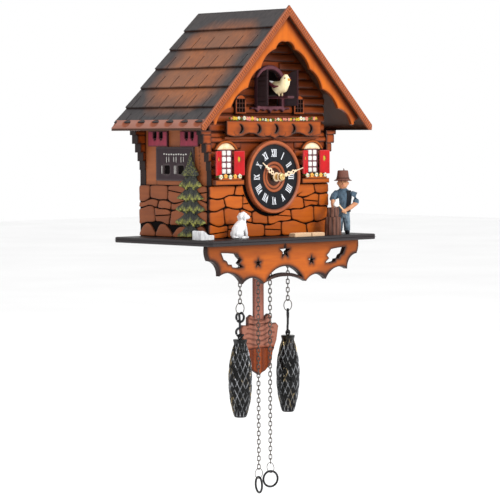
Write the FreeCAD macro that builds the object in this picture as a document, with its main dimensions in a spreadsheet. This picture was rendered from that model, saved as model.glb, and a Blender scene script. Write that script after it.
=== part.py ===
import math
import os

import FreeCAD
import Part
import Sketcher
from FreeCAD import Rotation, Vector

# A battery chalet cuckoo clock. x runs to the right as one faces the clock, y runs back into the
# wall it hangs on (y = 0), and z runs up. Heights are counted from the underside of the base
# plate while modelling; each piece's Placement then lowers it, so the origin ends up at the
# centre of the hanger hole.

DRIVING = {
    # the case
    "hanger_height": 185.0,
    "hanger_radius": 3.0,
    "base_half": 106.0,
    "base_depth": 131.0,
    "base_thick": 5.0,
    "house_half": 73.0,
    "side_thick": 5.0,
    "front_depth": 94.0,
    "front_thick": 3.0,
    "back_thick": 5.0,
    "masonry_top": 52.5,
    "masonry_thick": 3.3,
    # the roof
    "ridge_height": 215.0,
    "roof_half": 108.0,
    "roof_depth": 122.9,
    "roof_drop": 7.0,
    "eave_height": 102.0,
    "trim_thick": 2.0,
    "barge_depth": 117.5,
    "barge_thick": 3.0,
    # the dial and its hands
    "dial_height": 59.5,
    "dial_radius": 33.5,
    "ring_outer": 29.2,
    "ring_inner": 14.3,
    "hour_reach": 21.8,
    "minute_reach": 30.3,
    "arbor_radius": 2.0,
    "pipe_radius": 2.6,
    "running_gap": 0.08,
    # the motion work: 12 to 36 teeth, then 10 to 40, on one centre distance
    "cannon_teeth": 12,
    "minute_teeth": 36,
    "idler_teeth": 10,
    "hour_teeth": 40,
    "gear_distance": 12.0,
    # the movement
    "shell_half": 45.0,
    "shell_top": 117.0,
    "shell_wall": 2.0,
    "cell_radius": 13.1,
    "cell_length": 50.0,
    # the cuckoo
    "door_width": 15.6,
    "door_hinge": 16.0,
    "door_plane": 98.4,
    "door_foot": 124.2,
    "door_open": 100.0,
    "perch_height": 130.7,
    # windows, balcony and fretwork
    "window_centre": 54.7,
    "shutter_width": 10.4,
    "shutter_splay": 22.0,
    "balcony_half": 59.7,
    "bracket_half": 96.0,
    "bracket_depth": 116.0,
    "bracket_thick": 5.0,
    # pendulum, chains and weights
    "pivot_height": 40.0,
    "bob_depth": 82.6,
    "bob_thick": 3.6,
    "stick_half": 6.25,
    "rod_height": 9.0,
    "rod_radius": 0.7,
    "chain_depth": 88.0,
    "link_pitch": 3.85,
    "link_width": 3.6,
    "link_wire": 0.9,
    "weight_offset": 30.5,
    "pull_offset": 7.5,
    "cone_length": 71.5,
    "cone_radius": 11.0,
}

doc = FreeCAD.newDocument("cuckoo_clock")
sheet = doc.addObject("Spreadsheet::Sheet", "Sizes")
for row, (alias, amount) in enumerate(DRIVING.items(), start=1):
    sheet.set(f"A{row}", alias)
    sheet.set(f"B{row}", str(amount))
    sheet.setAlias(f"B{row}", alias)
doc.recompute()


class Size:
    """A length that knows its number and the sheet formula that drives it."""

    def __init__(self, number, formula=None):
        self.number = float(number)
        self.formula = formula or f"({self.number})"

    def joined(self, sign, other, number):
        return Size(number, f"({self.formula} {sign} {other.formula})")

    def __add__(self, other):
        other = as_size(other)
        return self.joined("+", other, self.number + other.number)

    def __sub__(self, other):
        other = as_size(other)
        return self.joined("-", other, self.number - other.number)

    def __mul__(self, other):
        other = as_size(other)
        return self.joined("*", other, self.number * other.number)

    def __radd__(self, other):
        return as_size(other) + self

    def __rsub__(self, other):
        return as_size(other) - self

    def __rmul__(self, other):
        return as_size(other) * self

    def __neg__(self):
        return as_size(0) - self


def as_size(value):
    return value if isinstance(value, Size) else Size(value)


class Sheet:
    """The driving dimensions by name: S.base_half is that cell, ready for arithmetic."""

    def __getattr__(self, alias):
        return Size(getattr(sheet, alias), f"Sizes.{alias}")


S = Sheet()
NODES = []


def piece(node, *items):
    """Names one sub-part, a single solid or a set of separate ones, and lowers it into place."""
    single = len(items) == 1 and not items[0].TypeId.startswith("Part::Box")
    item = items[0] if single else doc.addObject("Part::Compound", node)
    if not single:
        item.Links = list(items)
    item.Label = node
    item.setExpression("Placement.Base.z", "-Sizes.hanger_height")
    NODES.append(item)
    return item


def box(x, y, z, name="block"):
    """A block from its low and high x, y and z."""
    block = doc.addObject("Part::Box", name)
    for side, place, (low, high) in (("Length", "x", x), ("Width", "y", y), ("Height", "z", z)):
        low, high = as_size(low), as_size(high)
        block.setExpression(side, (high - low).formula)
        block.setExpression(f"Placement.Base.{place}", low.formula)
    return block


TURNS = {
    "x": Rotation(Vector(0, 1, 0), 90),
    "y": Rotation(Vector(1, 0, 0), -90),
    "z": Rotation(),
}


def rod(axis, radius, start, end, centre, name="rod"):
    """A cylinder along x, y or z from start to end; centre holds its other two coordinates."""
    start, end = as_size(start), as_size(end)
    cylinder = doc.addObject("Part::Cylinder", name)
    cylinder.Placement = FreeCAD.Placement(Vector(), TURNS[axis])
    cylinder.setExpression("Radius", as_size(radius).formula)
    cylinder.setExpression("Height", (end - start).formula)
    places = dict(zip([a for a in "xyz" if a != axis], centre))
    places[axis] = start
    for place, value in places.items():
        cylinder.setExpression(f"Placement.Base.{place}", as_size(value).formula)
    return cylinder


def ball(centre, radii, name="ball"):
    """An ellipsoid with its x, y and z radii."""
    shape = doc.addObject("Part::Ellipsoid", name)
    shape.Radius2, shape.Radius3, shape.Radius1 = radii
    for place, value in zip("xyz", centre):
        shape.setExpression(f"Placement.Base.{place}", as_size(value).formula)
    return shape


def cone(centre, low_radius, high_radius, tall, name="cone"):
    """An upright cone on its base centre."""
    shape = doc.addObject("Part::Cone", name)
    shape.Radius1, shape.Radius2, shape.Height = low_radius, high_radius, tall
    for place, value in zip("xyz", centre):
        shape.setExpression(f"Placement.Base.{place}", as_size(value).formula)
    return shape


def join(*parts, name="joined"):
    fused = doc.addObject("Part::MultiFuse", name)
    fused.Shapes = list(parts)
    return fused


def cut(base, *tools, name="cut"):
    taken = doc.addObject("Part::Cut", name)
    taken.Base = base
    taken.Tool = tools[0] if len(tools) == 1 else join(*tools)
    return taken


def shaped(shape, name="shape"):
    """A free-form shape that sketches and primitives can't make."""
    feature = doc.addObject("Part::Feature", name)
    feature.Shape = shape
    return feature


def draw_polygon(sketch, points):
    """A closed outline whose corners are each held by the sheet."""
    first = sketch.GeometryCount
    count = len(points)
    spots = [Vector(as_size(u).number, as_size(v).number, 0) for u, v in points]
    for i in range(count):
        sketch.addGeometry(Part.LineSegment(spots[i], spots[(i + 1) % count]))
    for i, (u, v) in enumerate(points):
        before = first + (i - 1) % count
        sketch.addConstraint(Sketcher.Constraint("Coincident", first + i, 1, before, 2))
        for kind, value in (("DistanceX", as_size(u)), ("DistanceY", as_size(v))):
            rule = Sketcher.Constraint(kind, -1, 1, first + i, 1, value.number)
            index = sketch.addConstraint(rule)
            sketch.setExpression(f"Constraints[{index}]", value.formula)


def draw_circle(sketch, u, v, radius):
    """A circle whose centre and radius are held by the sheet."""
    u, v, radius = as_size(u), as_size(v), as_size(radius)
    middle = Vector(u.number, v.number, 0)
    circle = sketch.addGeometry(Part.Circle(middle, Vector(0, 0, 1), radius.number))
    rules = (
        (Sketcher.Constraint("DistanceX", -1, 1, circle, 3, u.number), u),
        (Sketcher.Constraint("DistanceY", -1, 1, circle, 3, v.number), v),
        (Sketcher.Constraint("Radius", circle, radius.number), radius),
    )
    for rule, value in rules:
        index = sketch.addConstraint(rule)
        sketch.setExpression(f"Constraints[{index}]", value.formula)


def plate(name, plane, outline, start, end, holes=(), circles=()):
    """A board cut from sheet: a sketched outline with its openings, padded from start to end.

    The plane is XY (padded along z), XZ (padded along y) or YZ (padded along x).
    """
    start, end = as_size(start), as_size(end)
    body = doc.addObject("PartDesign::Body", name)
    sketch = body.newObject("Sketcher::SketchObject", name + "_outline")
    flat = [f for f in body.Origin.OriginFeatures if f.Role == plane + "_Plane"][0]
    sketch.AttachmentSupport = [(flat, "")]
    sketch.MapMode = "FlatFace"
    # The XZ plane faces -y, so a board in it is padded from its high y towards its low y.
    offset = -end if plane == "XZ" else start
    sketch.setExpression("AttachmentOffset.Base.z", offset.formula)
    draw_polygon(sketch, outline)
    for hole in holes:
        draw_polygon(sketch, hole)
    for circle in circles:
        draw_circle(sketch, *circle)
    pad = body.newObject("PartDesign::Pad", name + "_pad")
    pad.Profile = sketch
    pad.setExpression("Length", (end - start).formula)
    return body


def rectangle(u, v):
    (left, right), (low, high) = u, v
    return [(left, low), (right, low), (right, high), (left, high)]


def in_order(first, second):
    """Two lengths with the smaller one first."""
    first, second = as_size(first), as_size(second)
    return (first, second) if first.number < second.number else (second, first)


def mirrored(points):
    """An outline of the right half, top to bottom, closed by its mirror image."""
    return points + [(-u, v) for u, v in reversed(points) if as_size(u).number != 0]


# --- free-form helpers: plain numbers read from the sheet -----------------------------------


def outline_face(spots, y):
    """A face in the plane y from corners (x, z); a spot with a third and fourth number is
    reached along an arc through that point."""
    edges = []
    for here, there in zip(spots, spots[1:] + spots[:1]):
        a, b = Vector(here[0], y, here[1]), Vector(there[0], y, there[1])
        if len(there) == 4:
            edges.append(Part.Arc(a, Vector(there[2], y, there[3]), b).toShape())
        else:
            edges.append(Part.LineSegment(a, b).toShape())
    return Part.Face(Part.Wire(edges))


def board_shape(spots, low, high, cut_outs=()):
    """A board between two depths with fretwork openings."""
    solid = outline_face(spots, low).extrude(Vector(0, high - low, 0))
    for opening in cut_outs:
        knife = outline_face(opening, low - 1).extrude(Vector(0, high - low + 2, 0))
        solid = solid.cut(knife)
    return solid


def star(x, z, reach):
    spots = []
    for i in range(10):
        length = reach if i % 2 == 0 else 0.4 * reach
        angle = math.radians(90 + 36 * i)
        spots.append((x + length * math.cos(angle), z + length * math.sin(angle)))
    return spots


def between(a, b, bulge):
    """The middle of a to b, moved up by bulge."""
    return (0.5 * (a[0] + b[0]), 0.5 * (a[1] + b[1]) + bulge)


def scallops(cusps, bulges):
    """Cusps joined by arcs, each with its own bulge upward."""
    spots = [cusps[0]]
    for here, there, bulge in zip(cusps, cusps[1:], bulges):
        spots.append((*there, *between(here, there, bulge)))
    return spots


def flip(spots):
    """The mirror image of an open run of spots, read backwards."""
    plain = [(-s[0], s[1]) for s in spots][::-1]
    arcs = [(-s[2], s[3]) if len(s) == 4 else None for s in spots][::-1]
    run = [plain[0]]
    for spot, arc in zip(plain[1:], arcs[:-1]):
        run.append((*spot, *arc) if arc else spot)
    return run


def ring_shape(centre, normal, radius, wire):
    return Part.makeTorus(radius, wire, centre, normal)


def link_shape(centre, turn, length, width, wire):
    """A chain link: two straight sides and two half rings, in the xz plane turned about z."""
    bend = 0.5 * (width - wire)
    reach = 0.5 * (length - wire) - bend
    parts = []
    for side in (-1, 1):
        leg = Part.makeCylinder(0.5 * wire, 2 * reach, Vector(side * bend, 0, -reach))
        end = ring_shape(Vector(0, 0, side * reach), Vector(0, 1, 0), bend, 0.5 * wire)
        half = Part.makeBox(4 * bend, 4 * bend, 2 * bend, Vector(-2 * bend, -2 * bend, 0))
        half.translate(Vector(0, 0, reach if side > 0 else -reach - 2 * bend))
        parts += [leg, end.common(half)]
    link = parts[0].multiFuse(parts[1:]).removeSplitter()
    link.rotate(Vector(), Vector(0, 0, 1), turn)
    link.translate(centre)
    return link


def gear_shape(teeth, module, low, high, height, turn, bore):
    """A spur gear about y with straight flanks and generous backlash."""
    pitch = 0.5 * module * teeth
    tip, root = pitch + 0.9 * module, pitch - 1.2 * module
    step = 2 * math.pi / teeth
    spots = []
    for i in range(teeth):
        middle = i * step + math.radians(turn)
        for radius, share in ((root, -0.30), (tip, -0.12), (tip, 0.12), (root, 0.30)):
            angle = middle + share * step
            spots.append((radius * math.sin(angle), height + radius * math.cos(angle)))
    wheel = outline_face(spots, low).extrude(Vector(0, high - low, 0))
    hole = Part.makeCylinder(bore, high - low + 2, Vector(0, low - 1, height), Vector(0, 1, 0))
    return wheel.cut(hole)


def hand_shape(tip, angle, plane, thick, bore, wide):
    """A carved hand: a slim blade with a widened middle, on a round boss at the dial's centre."""
    spots = [
        (-1.2, 0), (-0.9, 0.35 * tip), (-wide, 0.52 * tip), (-0.8, 0.7 * tip), (-0.3, tip),
        (0.3, tip), (0.8, 0.7 * tip), (wide, 0.52 * tip), (0.9, 0.35 * tip), (1.2, 0),
    ]
    height = S.dial_height.number
    cosine, sine = math.cos(math.radians(angle)), math.sin(math.radians(angle))
    turned = [(u * cosine + v * sine, height + v * cosine - u * sine) for u, v in spots]
    blade = outline_face(turned, plane).extrude(Vector(0, thick, 0))
    boss = Part.makeCylinder(bore + 1.6, thick, Vector(0, plane, height), Vector(0, 1, 0))
    hole = Part.makeCylinder(bore, thick + 2, Vector(0, plane - 1, height), Vector(0, 1, 0))
    return blade.fuse(boss).cut(hole)


# --- the case -------------------------------------------------------------------------------


def case():
    """The base plate, the back and the four walls with their stone cladding."""
    slot_y = (-93, -77)
    side_slot = (S.weight_offset - 4, S.weight_offset + 4)
    plain = S.base_half - 3
    outline = mirrored([(plain, 0), (S.base_half, -2), (S.base_half, 3 - S.base_depth),
                        (plain, -S.base_depth)])
    holes = [rectangle((-12, 12), slot_y)]
    for side in (-1, 1):
        ends = in_order(side * side_slot[0], side * side_slot[1])
        holes.append(rectangle(ends, (slot_y[0], -84)))
    piece("base_plate", plate("base_plate", "XY", outline, 0, S.base_thick, holes))

    under = S.ridge_height - S.roof_drop
    gable = mirrored([(0, under), (S.house_half, under - S.house_half), (S.house_half, S.base_thick)])
    opening = rectangle((-2 - S.shell_half, S.shell_half + 2), (12, S.shell_top + 2))
    vents = [(-20, 140, 4.5), (0, 148, 4.5), (20, 140, 4.5)]
    screws = [(side * 70.5, z, 2.4) for side in (-1, 1) for z in (12, 64, 116)]
    hanger_hole = [(0, S.hanger_height, S.hanger_radius)]
    back = plate("back_panel", "XZ", gable, -S.back_thick, 0, [opening], vents + screws + hanger_hole)
    piece("back_panel", back)
    heads = [rod("y", 2.4, -4.8, -0.3, (x, z)) for x, z, _ in screws]
    piece("case_screws", *heads)

    arch = [(-14, 124), (14, 124), (14, 150), (9, 155.5), (0, 157.5), (-9, 155.5), (-14, 150)]
    front = plate("front_wall", "XZ", gable, -S.front_depth, S.front_thick - S.front_depth,
                  [arch], [(0, S.dial_height, 5)])
    piece("front_wall", front)
    for side, node in ((-1, "left_wall"), (1, "right_wall")):
        low, high = in_order(side * S.house_half, side * (S.house_half - S.side_thick))
        walls = rectangle((S.front_thick - S.front_depth, -S.back_thick),
                          (S.base_thick, under - S.house_half - 0.5))
        window = rectangle((-68, -31), (58.5, 86))
        piece(node, plate(node, "YZ", walls, low, high, [window]))

    stone = rectangle((-S.house_half, S.house_half), (S.base_thick, S.masonry_top))
    piece("masonry_front", plate("masonry_front", "XZ", stone,
                                 -S.front_depth - S.masonry_thick, -S.front_depth))
    courses = []
    for side in (-1, 1):
        x = in_order(side * S.house_half, side * (S.house_half + S.masonry_thick))
        courses.append(box(x, (-S.front_depth, -8.5), (S.base_thick, S.masonry_top)))
    piece("masonry_sides", *courses)


def hanger():
    """A steel strip that backs the hole the clock hangs by."""
    strip = box((-9, 9), (-S.back_thick - 1.2, -S.back_thick),
                (S.hanger_height - 8, S.hanger_height + 8))
    bore = rod("y", S.hanger_radius, -S.back_thick - 2, 1 - S.back_thick, (0, S.hanger_height))
    piece("hanger_plate", cut(strip, bore, name="hanger_plate"))


def roof():
    """Two slopes that meet at the ridge, with a trim on the front edge and a bargeboard."""
    under = S.ridge_height - S.roof_drop
    slope_end = S.ridge_height - S.roof_half
    lip = under - S.eave_height
    inner = S.ridge_height - 9
    trims = []
    for side, node in ((-1, "roof_left"), (1, "roof_right")):
        panel = [(0, S.ridge_height), (side * S.roof_half, slope_end),
                 (side * S.roof_half, S.eave_height), (side * lip, S.eave_height), (0, under)]
        piece(node, plate(node, "XZ", panel, S.trim_thick - S.roof_depth, 0))
        foot = inner - S.eave_height
        strip = [(0, S.ridge_height), (side * S.roof_half, slope_end),
                 (side * S.roof_half, S.eave_height), (side * foot, S.eave_height), (0, inner)]
        trims.append(plate(f"trim_{node}", "XZ", strip, -S.roof_depth, S.trim_thick - S.roof_depth))
    piece("roof_edge_trim", *trims)

    top = S.ridge_height.number - S.roof_drop.number - 0.3
    low, high = -S.barge_depth.number, S.barge_thick.number - S.barge_depth.number
    cusps = [(0, 182), (12, 175.5), (31, 158), (47, 140), (68, 122), (85.5, 108)]
    lower = scallops(cusps, (3.2, 4.2, 4.2, 4.2, 4.2))
    tail = [(89, 109.5, 88.5, 107.2), (top - 113, 113)]
    right = lower + tail
    spots = closed_half(right) + [(0, top)]
    piece("bargeboard", shaped(board_shape(spots, low, high), "bargeboard"))


def closed_half(right):
    """The whole outline below an apex from the run of its right half, centre to eave."""
    down = flip(right)          # from the left eave to the centre
    return down + right[1:]


def corner_ends():
    """Log ends that step out under each eave, at the front and back corners."""
    foot = S.masonry_top
    steps = [(foot, 73.6), (66, 74.6), (74, 77), (82, 80), (90, 83.5), (98, 86)]
    run = []
    for (z, reach), (above, _) in zip(steps, steps[1:] + [(102, 0)]):
        run += [(reach, z), (reach, above)]
    run += [(S.house_half, S.eave_height), (S.house_half, foot)]
    ends = []
    for y in ((-97, -91), (-8, 0)):
        ends.append(plate("log_ends", "XZ", run, *y))
        ends.append(plate("log_ends", "XZ", [(-u, v) for u, v in run][::-1], *y))
    piece("eave_log_ends", *ends)


def bracket():
    """The fretwork board under the base, with stars, bat-wing openings and a pierced arch."""
    low = -S.bracket_depth.number
    high = low + S.bracket_thick.number
    half = S.bracket_half.number
    right = [(27, -36.6), (53, -35.7, 40, -30.5), (81.5, -27.5, 66.5, -25.5),
             (half - 2, -13.5, 85.5, -17), (half, 0, half + 0.4, -7)]
    spots = closed_half([(0, -31), (27, -36.6, 14, -32.2)] + right[1:])
    openings = [star(0, -8, 6.5), star(34, -17.5, 3.9), star(-34, -17.5, 3.9)]
    openings.append([(-23, -33.2, 0, -27.6), (23, -33.2, 0, -21.7)])
    for side in (1, -1):
        wing = [(52, -17), (57, -11), (70, -8), (83, -7), (79, -13.5), (73, -16), (66, -20.5),
                (56, -21)]
        openings.append([(side * x, z) for x, z in wing])
    piece("front_bracket", shaped(board_shape(spots, low, high, openings), "front_bracket"))


# --- balcony, windows and shutters ----------------------------------------------------------


def balcony():
    """The balcony's fretwork front with its crescents, on a narrow shelf."""
    half, low, high = S.balcony_half.number, -103.0, -100.0
    top, foot = 110.5, 96.0
    right = [(0, foot - 1.5), (12, foot, 6, foot + 0.6), (24, foot + 2.5, 18, foot + 0.4),
             (40, foot + 1, 32, foot + 3.4), (half, foot + 2.5, 50, foot + 0.5)]
    spots = closed_half(right) + [(half, top), (-half, top)]
    crescents = []
    for x in (-44, -22, 0, 22, 44):
        crescents.append([(x, 99.5, x + 2.2, 103.5), (x, 107.5, x + 4.4, 103.5)])
    board = board_shape(spots, low, high, crescents)
    shelf = Part.makeBox(2 * half, 6, 2, Vector(-half, -100, 94))
    piece("balcony_board", shaped(board.fuse(shelf), "balcony_board"))


def windows():
    """Arched front windows with their boxes and shutters, and small gable windows."""
    face, back = -S.front_depth.number - 3.2, -S.front_depth.number
    frames = []
    for side in (-1, 1):
        x = side * S.window_centre.number
        spots = [(x - 7.6, 62.3), (x + 7.6, 62.3), (x + 7.6, 84.4), (x + 14.4, 84.4),
                 (x - 14.4, 84.4, x, 93.2), (x - 7.6, 84.4)]
        panes = [[(x + a, low), (x + a + 4.6, low), (x + a + 4.6, low + 5.6), (x + a, low + 5.6)]
                 for a in (-5.2, 0.6) for low in (64.0, 71.2, 78.4)]
        frames.append(shaped(board_shape(spots, face, back, panes), "arched_window"))
    for x in (-37, 37):
        spots = [(x - 6.5, 117), (x + 6.5, 117), (x + 6.5, 128), (x - 6.5, 128, x, 134)]
        panes = [[(x + a, 119), (x + a + 4, 119), (x + a + 4, 128), (x + a, 128)] for a in (-4.8, 0.8)]
        frames.append(shaped(board_shape(spots, face + 1, back, panes), "gable_window"))
    piece("arched_windows", *frames)

    boxes = [box((3 - S.balcony_half, S.balcony_half - 3), (-103.5, -100.5), (110.6, 115.5))]
    for side in (-1, 1):
        x = side * S.window_centre
        boxes.append(box((x - 14.4, x + 14.4), (-104, -97.5), (57.6, 61.5)))
        boxes.append(box((x - 17.6, x + 17.6), (-101.5, -S.front_depth), (53, 57.4)))
    piece("flower_boxes", *boxes)

    leaves = []
    for side in (-1, 1):
        for hand in (-1, 1):
            edge = side * S.window_centre.number + hand * 7.9
            leaf = Part.makeBox(S.shutter_width.number, 1.4, 21.9, Vector(0, -1.4, 61.6))
            if hand < 0:
                leaf = leaf.mirror(Vector(), Vector(1, 0, 0))
            leaf.rotate(Vector(), Vector(0, 0, 1), -hand * S.shutter_splay.number)
            leaf.translate(Vector(edge, face - 0.3, 0))
            leaves.append(shaped(leaf, "shutter"))
    piece("front_shutters", *leaves)


def side_trim():
    """Windows, upper shutters and applied fir trees on both side walls."""
    frames, shutters, trees = [], [], []
    tiers = [(61, 58, 87), (51, 54, 90), (39.5, 55, 94), (29.5, 53, 94), (17.5, 53, 96)]
    for side in (-1, 1):
        wall = side * S.house_half
        low, high = in_order(wall, wall + side * 2.5)
        outer = rectangle((-74.6, -24), (56.5, 87.2))
        panes = [rectangle((y, y + 10.4), (z, z + 11)) for y in (-67, -54.6, -42.2) for z in (60, 73.6)]
        frames.append(plate("side_window", "YZ", outer, low, high, panes))
        for span in ((-39.5, -13), (-81.4, -57)):
            shutters.append(box((low, high), span, (87.6, 101.5)))
        spots = [(-73, 84.4)]
        for z, near, _ in tiers:
            spots += [(-near, z), (-near - 7, z + 1.5)]
        spots += [(-70, 12), (-54, S.base_thick), (-90, S.base_thick), (-76, 12)]
        for z, _, far in reversed(tiers):
            spots += [(7 - far, z + 1.5), (-far, z)]
        stone = wall + side * S.masonry_thick
        low, high = in_order(stone, stone + side * 3.5)
        trees.append(plate("fir_tree", "YZ", spots[::-1], low, high))
    piece("side_windows", *frames)
    piece("side_shutters", *shutters)
    piece("fir_trees", *trees)


# --- the dial, the hands and the motion work ------------------------------------------------


def dial():
    """The turned rim stands against the stones; the black ring lies in its recess."""
    spot = (0, S.dial_height)
    back, recess, ring_face, rim_face = -97.3, -100.3, -101.5, -103.0
    disc = rod("y", S.dial_radius, recess, back, spot)
    hollow = rod("y", S.ring_outer + 0.2, rim_face - 1, recess + 0.3, spot)
    lip = cut(rod("y", S.dial_radius, rim_face, recess, spot), hollow)
    centre = rod("y", S.ring_inner - 0.1, ring_face - 0.5, recess, spot)
    shaft_hole = rod("y", 3.4, rim_face - 1, back + 1, spot)
    piece("dial_rim", cut(join(disc, lip, centre), shaft_hole, name="dial_rim"))
    ring = rod("y", S.ring_outer, ring_face, recess, spot)
    middle = rod("y", S.ring_inner, ring_face - 1, recess + 1, spot)
    piece("chapter_ring", cut(ring, middle, name="chapter_ring"))


def motion_work():
    """Cannon pinion, minute wheel and hour wheel, with the two hands they turn."""
    z = S.dial_height.number
    arbor, pipe, gap = S.arbor_radius.number, S.pipe_radius.number, S.running_gap.number
    cannon, wheel = int(S.cannon_teeth.number), int(S.minute_teeth.number)
    idler, hour = int(S.idler_teeth.number), int(S.hour_teeth.number)
    coarse = 2 * S.gear_distance.number / (cannon + wheel)
    fine = 2 * S.gear_distance.number / (idler + hour)
    along = Vector(0, 1, 0)

    shaft = Part.makeCylinder(arbor, 46, Vector(0, -112, z), along)
    pinion = gear_shape(cannon, coarse, -76.5, -73, z, 0, 0.5 * arbor)
    nut = Part.makeCylinder(3.4, 2.2, Vector(0, -113.2, z), along)
    piece("minute_arbor", shaped(shaft.fuse([pinion, nut]), "minute_arbor"))
    piece("minute_hand", shaped(hand_shape(S.minute_reach.number, 74.4, -110.6, 0.8, arbor, 2.2),
                                "minute_hand"))

    # A tooth of the minute wheel points down at the pinion's gap, half a step out of phase.
    above = z + S.gear_distance.number
    big = gear_shape(wheel, coarse, -76, -74, above, 180 / wheel, 1.2 + gap)
    small = gear_shape(idler, fine, -83.4, -76, above, 0, 1.2 + gap)
    piece("minute_wheel", shaped(big.fuse(small), "minute_wheel"))

    disc = gear_shape(hour, fine, -82, -80, z, 180 / hour, arbor + gap)
    tube = Part.makeCylinder(pipe, 25, Vector(0, -107, z), along)
    bore = Part.makeCylinder(arbor + gap, 40, Vector(0, -110, z), along)
    piece("hour_wheel", shaped(disc.fuse(tube).cut(bore), "hour_wheel"))
    piece("hour_hand", shaped(hand_shape(S.hour_reach.number, 307.0, -105.4, 0.8, pipe, 2.6),
                              "hour_hand"))


# --- the movement and its electrics ---------------------------------------------------------


def movement():
    """The quartz and cuckoo movement: two shells, the cells, a speaker and the coils."""
    half, wall, top = S.shell_half, S.shell_wall, S.shell_top
    foot = 44
    outer = box((-half, half), (-90, -48), (foot, top))
    inner = box((wall - half, half - wall), (wall - 90, -47), (foot + wall, top - wall))
    hole = rod("y", 2.9, -91, -87, (0, S.dial_height))
    hollow = cut(outer, inner, hole)
    stud = rod("y", 1.2, wall - 90, -72, (0, S.dial_height + S.gear_distance))
    cheek = box((-5, 5), (-76.5, -73), (S.pivot_height - 4, foot))
    pin = rod("y", 1.2, -84.5, -76.5, (0, S.pivot_height))
    piece("movement_front_shell", join(hollow, stud, cheek, pin, name="movement_front_shell"))

    rear = box((-half, half), (-47.8, -6), (14, top))
    upper = box((wall - half, half - wall), (-48, -6 - wall), (76, top - wall))
    bay = box((wall - half, half - wall), (-40, -5), (16, 72))
    slot = box((19, 31), (-9, -5), (98, 101.4))
    grille = [rod("y", 1.6, -9, -5, (x, z)) for x in (-26, -20, -14) for z in (90, 96, 102)]
    piece("movement_rear_shell", cut(rear, upper, bay, slot, *grille, name="movement_rear_shell"))
    door = box((0.3 + wall - half, half - wall - 0.3), (-7.8, -6.2), (16.4, 71.6))
    piece("battery_door", door)
    columns = (-28, 0, 28)
    cells = [rod("z", S.cell_radius, 19, 19 + S.cell_length, (x, -24)) for x in columns]
    piece("batteries", *cells)
    springs = [cone((x, -24, 16), 6, 3, 3) for x in columns]
    tabs = [box((x - 5, x + 5), (-29, -19), (69, 72)) for x in columns]
    piece("battery_contacts", *springs, *tabs)

    piece("circuit_board", box((-40, 40), (-44, -42.4), (78, 113)))
    spot = (-20, 96)
    basket = cut(rod("y", 17, -22.5, -8.2, spot), rod("y", 15, -23, -8, spot))
    back_ring = rod("y", 17, -24, -22.5, spot)
    magnet = rod("y", 8, -34, -24, spot)
    piece("speaker", join(basket, back_ring, magnet, name="speaker"))
    knob = join(box((23.5, 26.5), (-9, -4.5), (98.3, 101.1)), box((20, 30), (-11, -9), (95.5, 104)))
    piece("night_switch", knob)

    step_coil = join(rod("x", 4.5, -14, 14, (-66, 100)), box((-16, -14), (-71, -61), (94, 106)),
                     box((14, 16), (-71, -61), (94, 106)))
    drive = rod("y", 8, -77, -47.8, (0, 24))
    piece("drive_coils", step_coil, drive)


# --- the cuckoo -----------------------------------------------------------------------------


def cuckoo():
    """The doorway, its two leaves, and the bird on the slide that carries it out."""
    low, high = -98.0, -S.front_depth.number
    spots = closed_half([(0, 117.7), (8, 119.5, 4, 121), (16, 118.5, 12, 121.2), (24, 121, 20, 121.6)])
    spots += [(24, 123), (17.4, 123), (17.4, 151), (-17.4, 151, 0, 161.5), (-17.4, 123), (-24, 123)]
    opening = [(-14, 124.2), (14, 124.2), (14, 150), (-14, 150, 0, 157.4)]
    piece("bird_door_frame", shaped(board_shape(spots, low, high, [opening]), "bird_door_frame"))

    for side, node in ((-1, "bird_door_left"), (1, "bird_door_right")):
        width = S.door_width
        reach = -side * width
        leaf = [(0, S.door_foot), (reach, S.door_foot), (reach, 157), (reach * 0.6, 155.6),
                (reach * 0.25, 152.5), (0, 149.5)]
        if side > 0:
            leaf = leaf[::-1]
        door = plate(node, "XZ", leaf, -1.6, 0)
        turn = Rotation(Vector(0, 0, 1), side * S.door_open.number)
        door.Placement = FreeCAD.Placement(Vector(), turn)
        door.setExpression("Placement.Base.x", (side * S.door_hinge).formula)
        door.setExpression("Placement.Base.y", (-S.door_plane).formula)
        piece(node, door)

    z = S.perch_height.number
    piece("bird_perch", join(box((-4, 4), (-124, -70), (z, z + 2.3)),
                             box((-3, 3), (-76, -70), (z + 2.3, z + 8))))
    body = ball((0, -110, z + 9.5), (5.6, 9.5, 6.6))
    head = ball((0, -116.5, z + 17), (4.4, 4.6, 4.4))
    beak = ball((0, -121, z + 17), (1.3, 3.2, 1.2))
    tail = box((-2.6, 2.6), (-104, -97.5), (z + 14, z + 16.5))
    leg = box((-1.5, 1.5), (-112, -109), (z + 2.3, z + 5))
    piece("bird", join(body, head, beak, tail, leg, name="bird"))
    motor = cut(box((-14, 14), (-66, -16), (118, 142)), box((-5, 5), (-67, -15), (z - 0.4, 143)))
    piece("bird_motor", motor)


# --- pendulum, chains and weights -----------------------------------------------------------


def pendulum():
    """A flat stick that hangs on the movement's pin, and the carved bob glued over its foot."""
    front = -S.bob_depth
    back = front + S.bob_thick
    slot_front = front + 1.2
    stick_back = slot_front + 2.4
    stick = box((-S.stick_half, S.stick_half), (slot_front, stick_back), (-90, S.pivot_height + 3.4))
    bore = rod("y", 1.2 + S.running_gap, front, back + 1, (0, S.pivot_height))
    piece("pendulum_stick", cut(stick, bore, name="pendulum_stick"))
    right = [(0, -124), (9, -119), (14, -116), (17, -104), (19.5, -100), (19, -98), (21.4, -93),
             (24, -79.5), (21, -76.5), (15, -77), (15, -70), (11, -67.5), (7, -70), (6.25, -72)]
    outline = right + [(-u, v) for u, v in right[::-1] if u]
    bob = plate("bob_board", "XZ", outline, front, back)
    pocket = box((-S.stick_half, S.stick_half), (slot_front, back + 1), (-90, -60))
    piece("pendulum_bob", cut(bob, pocket, name="pendulum_bob"))
    piece("pendulum_magnet", rod("y", 5, stick_back, stick_back + 1.5, (0, 24)))


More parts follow.
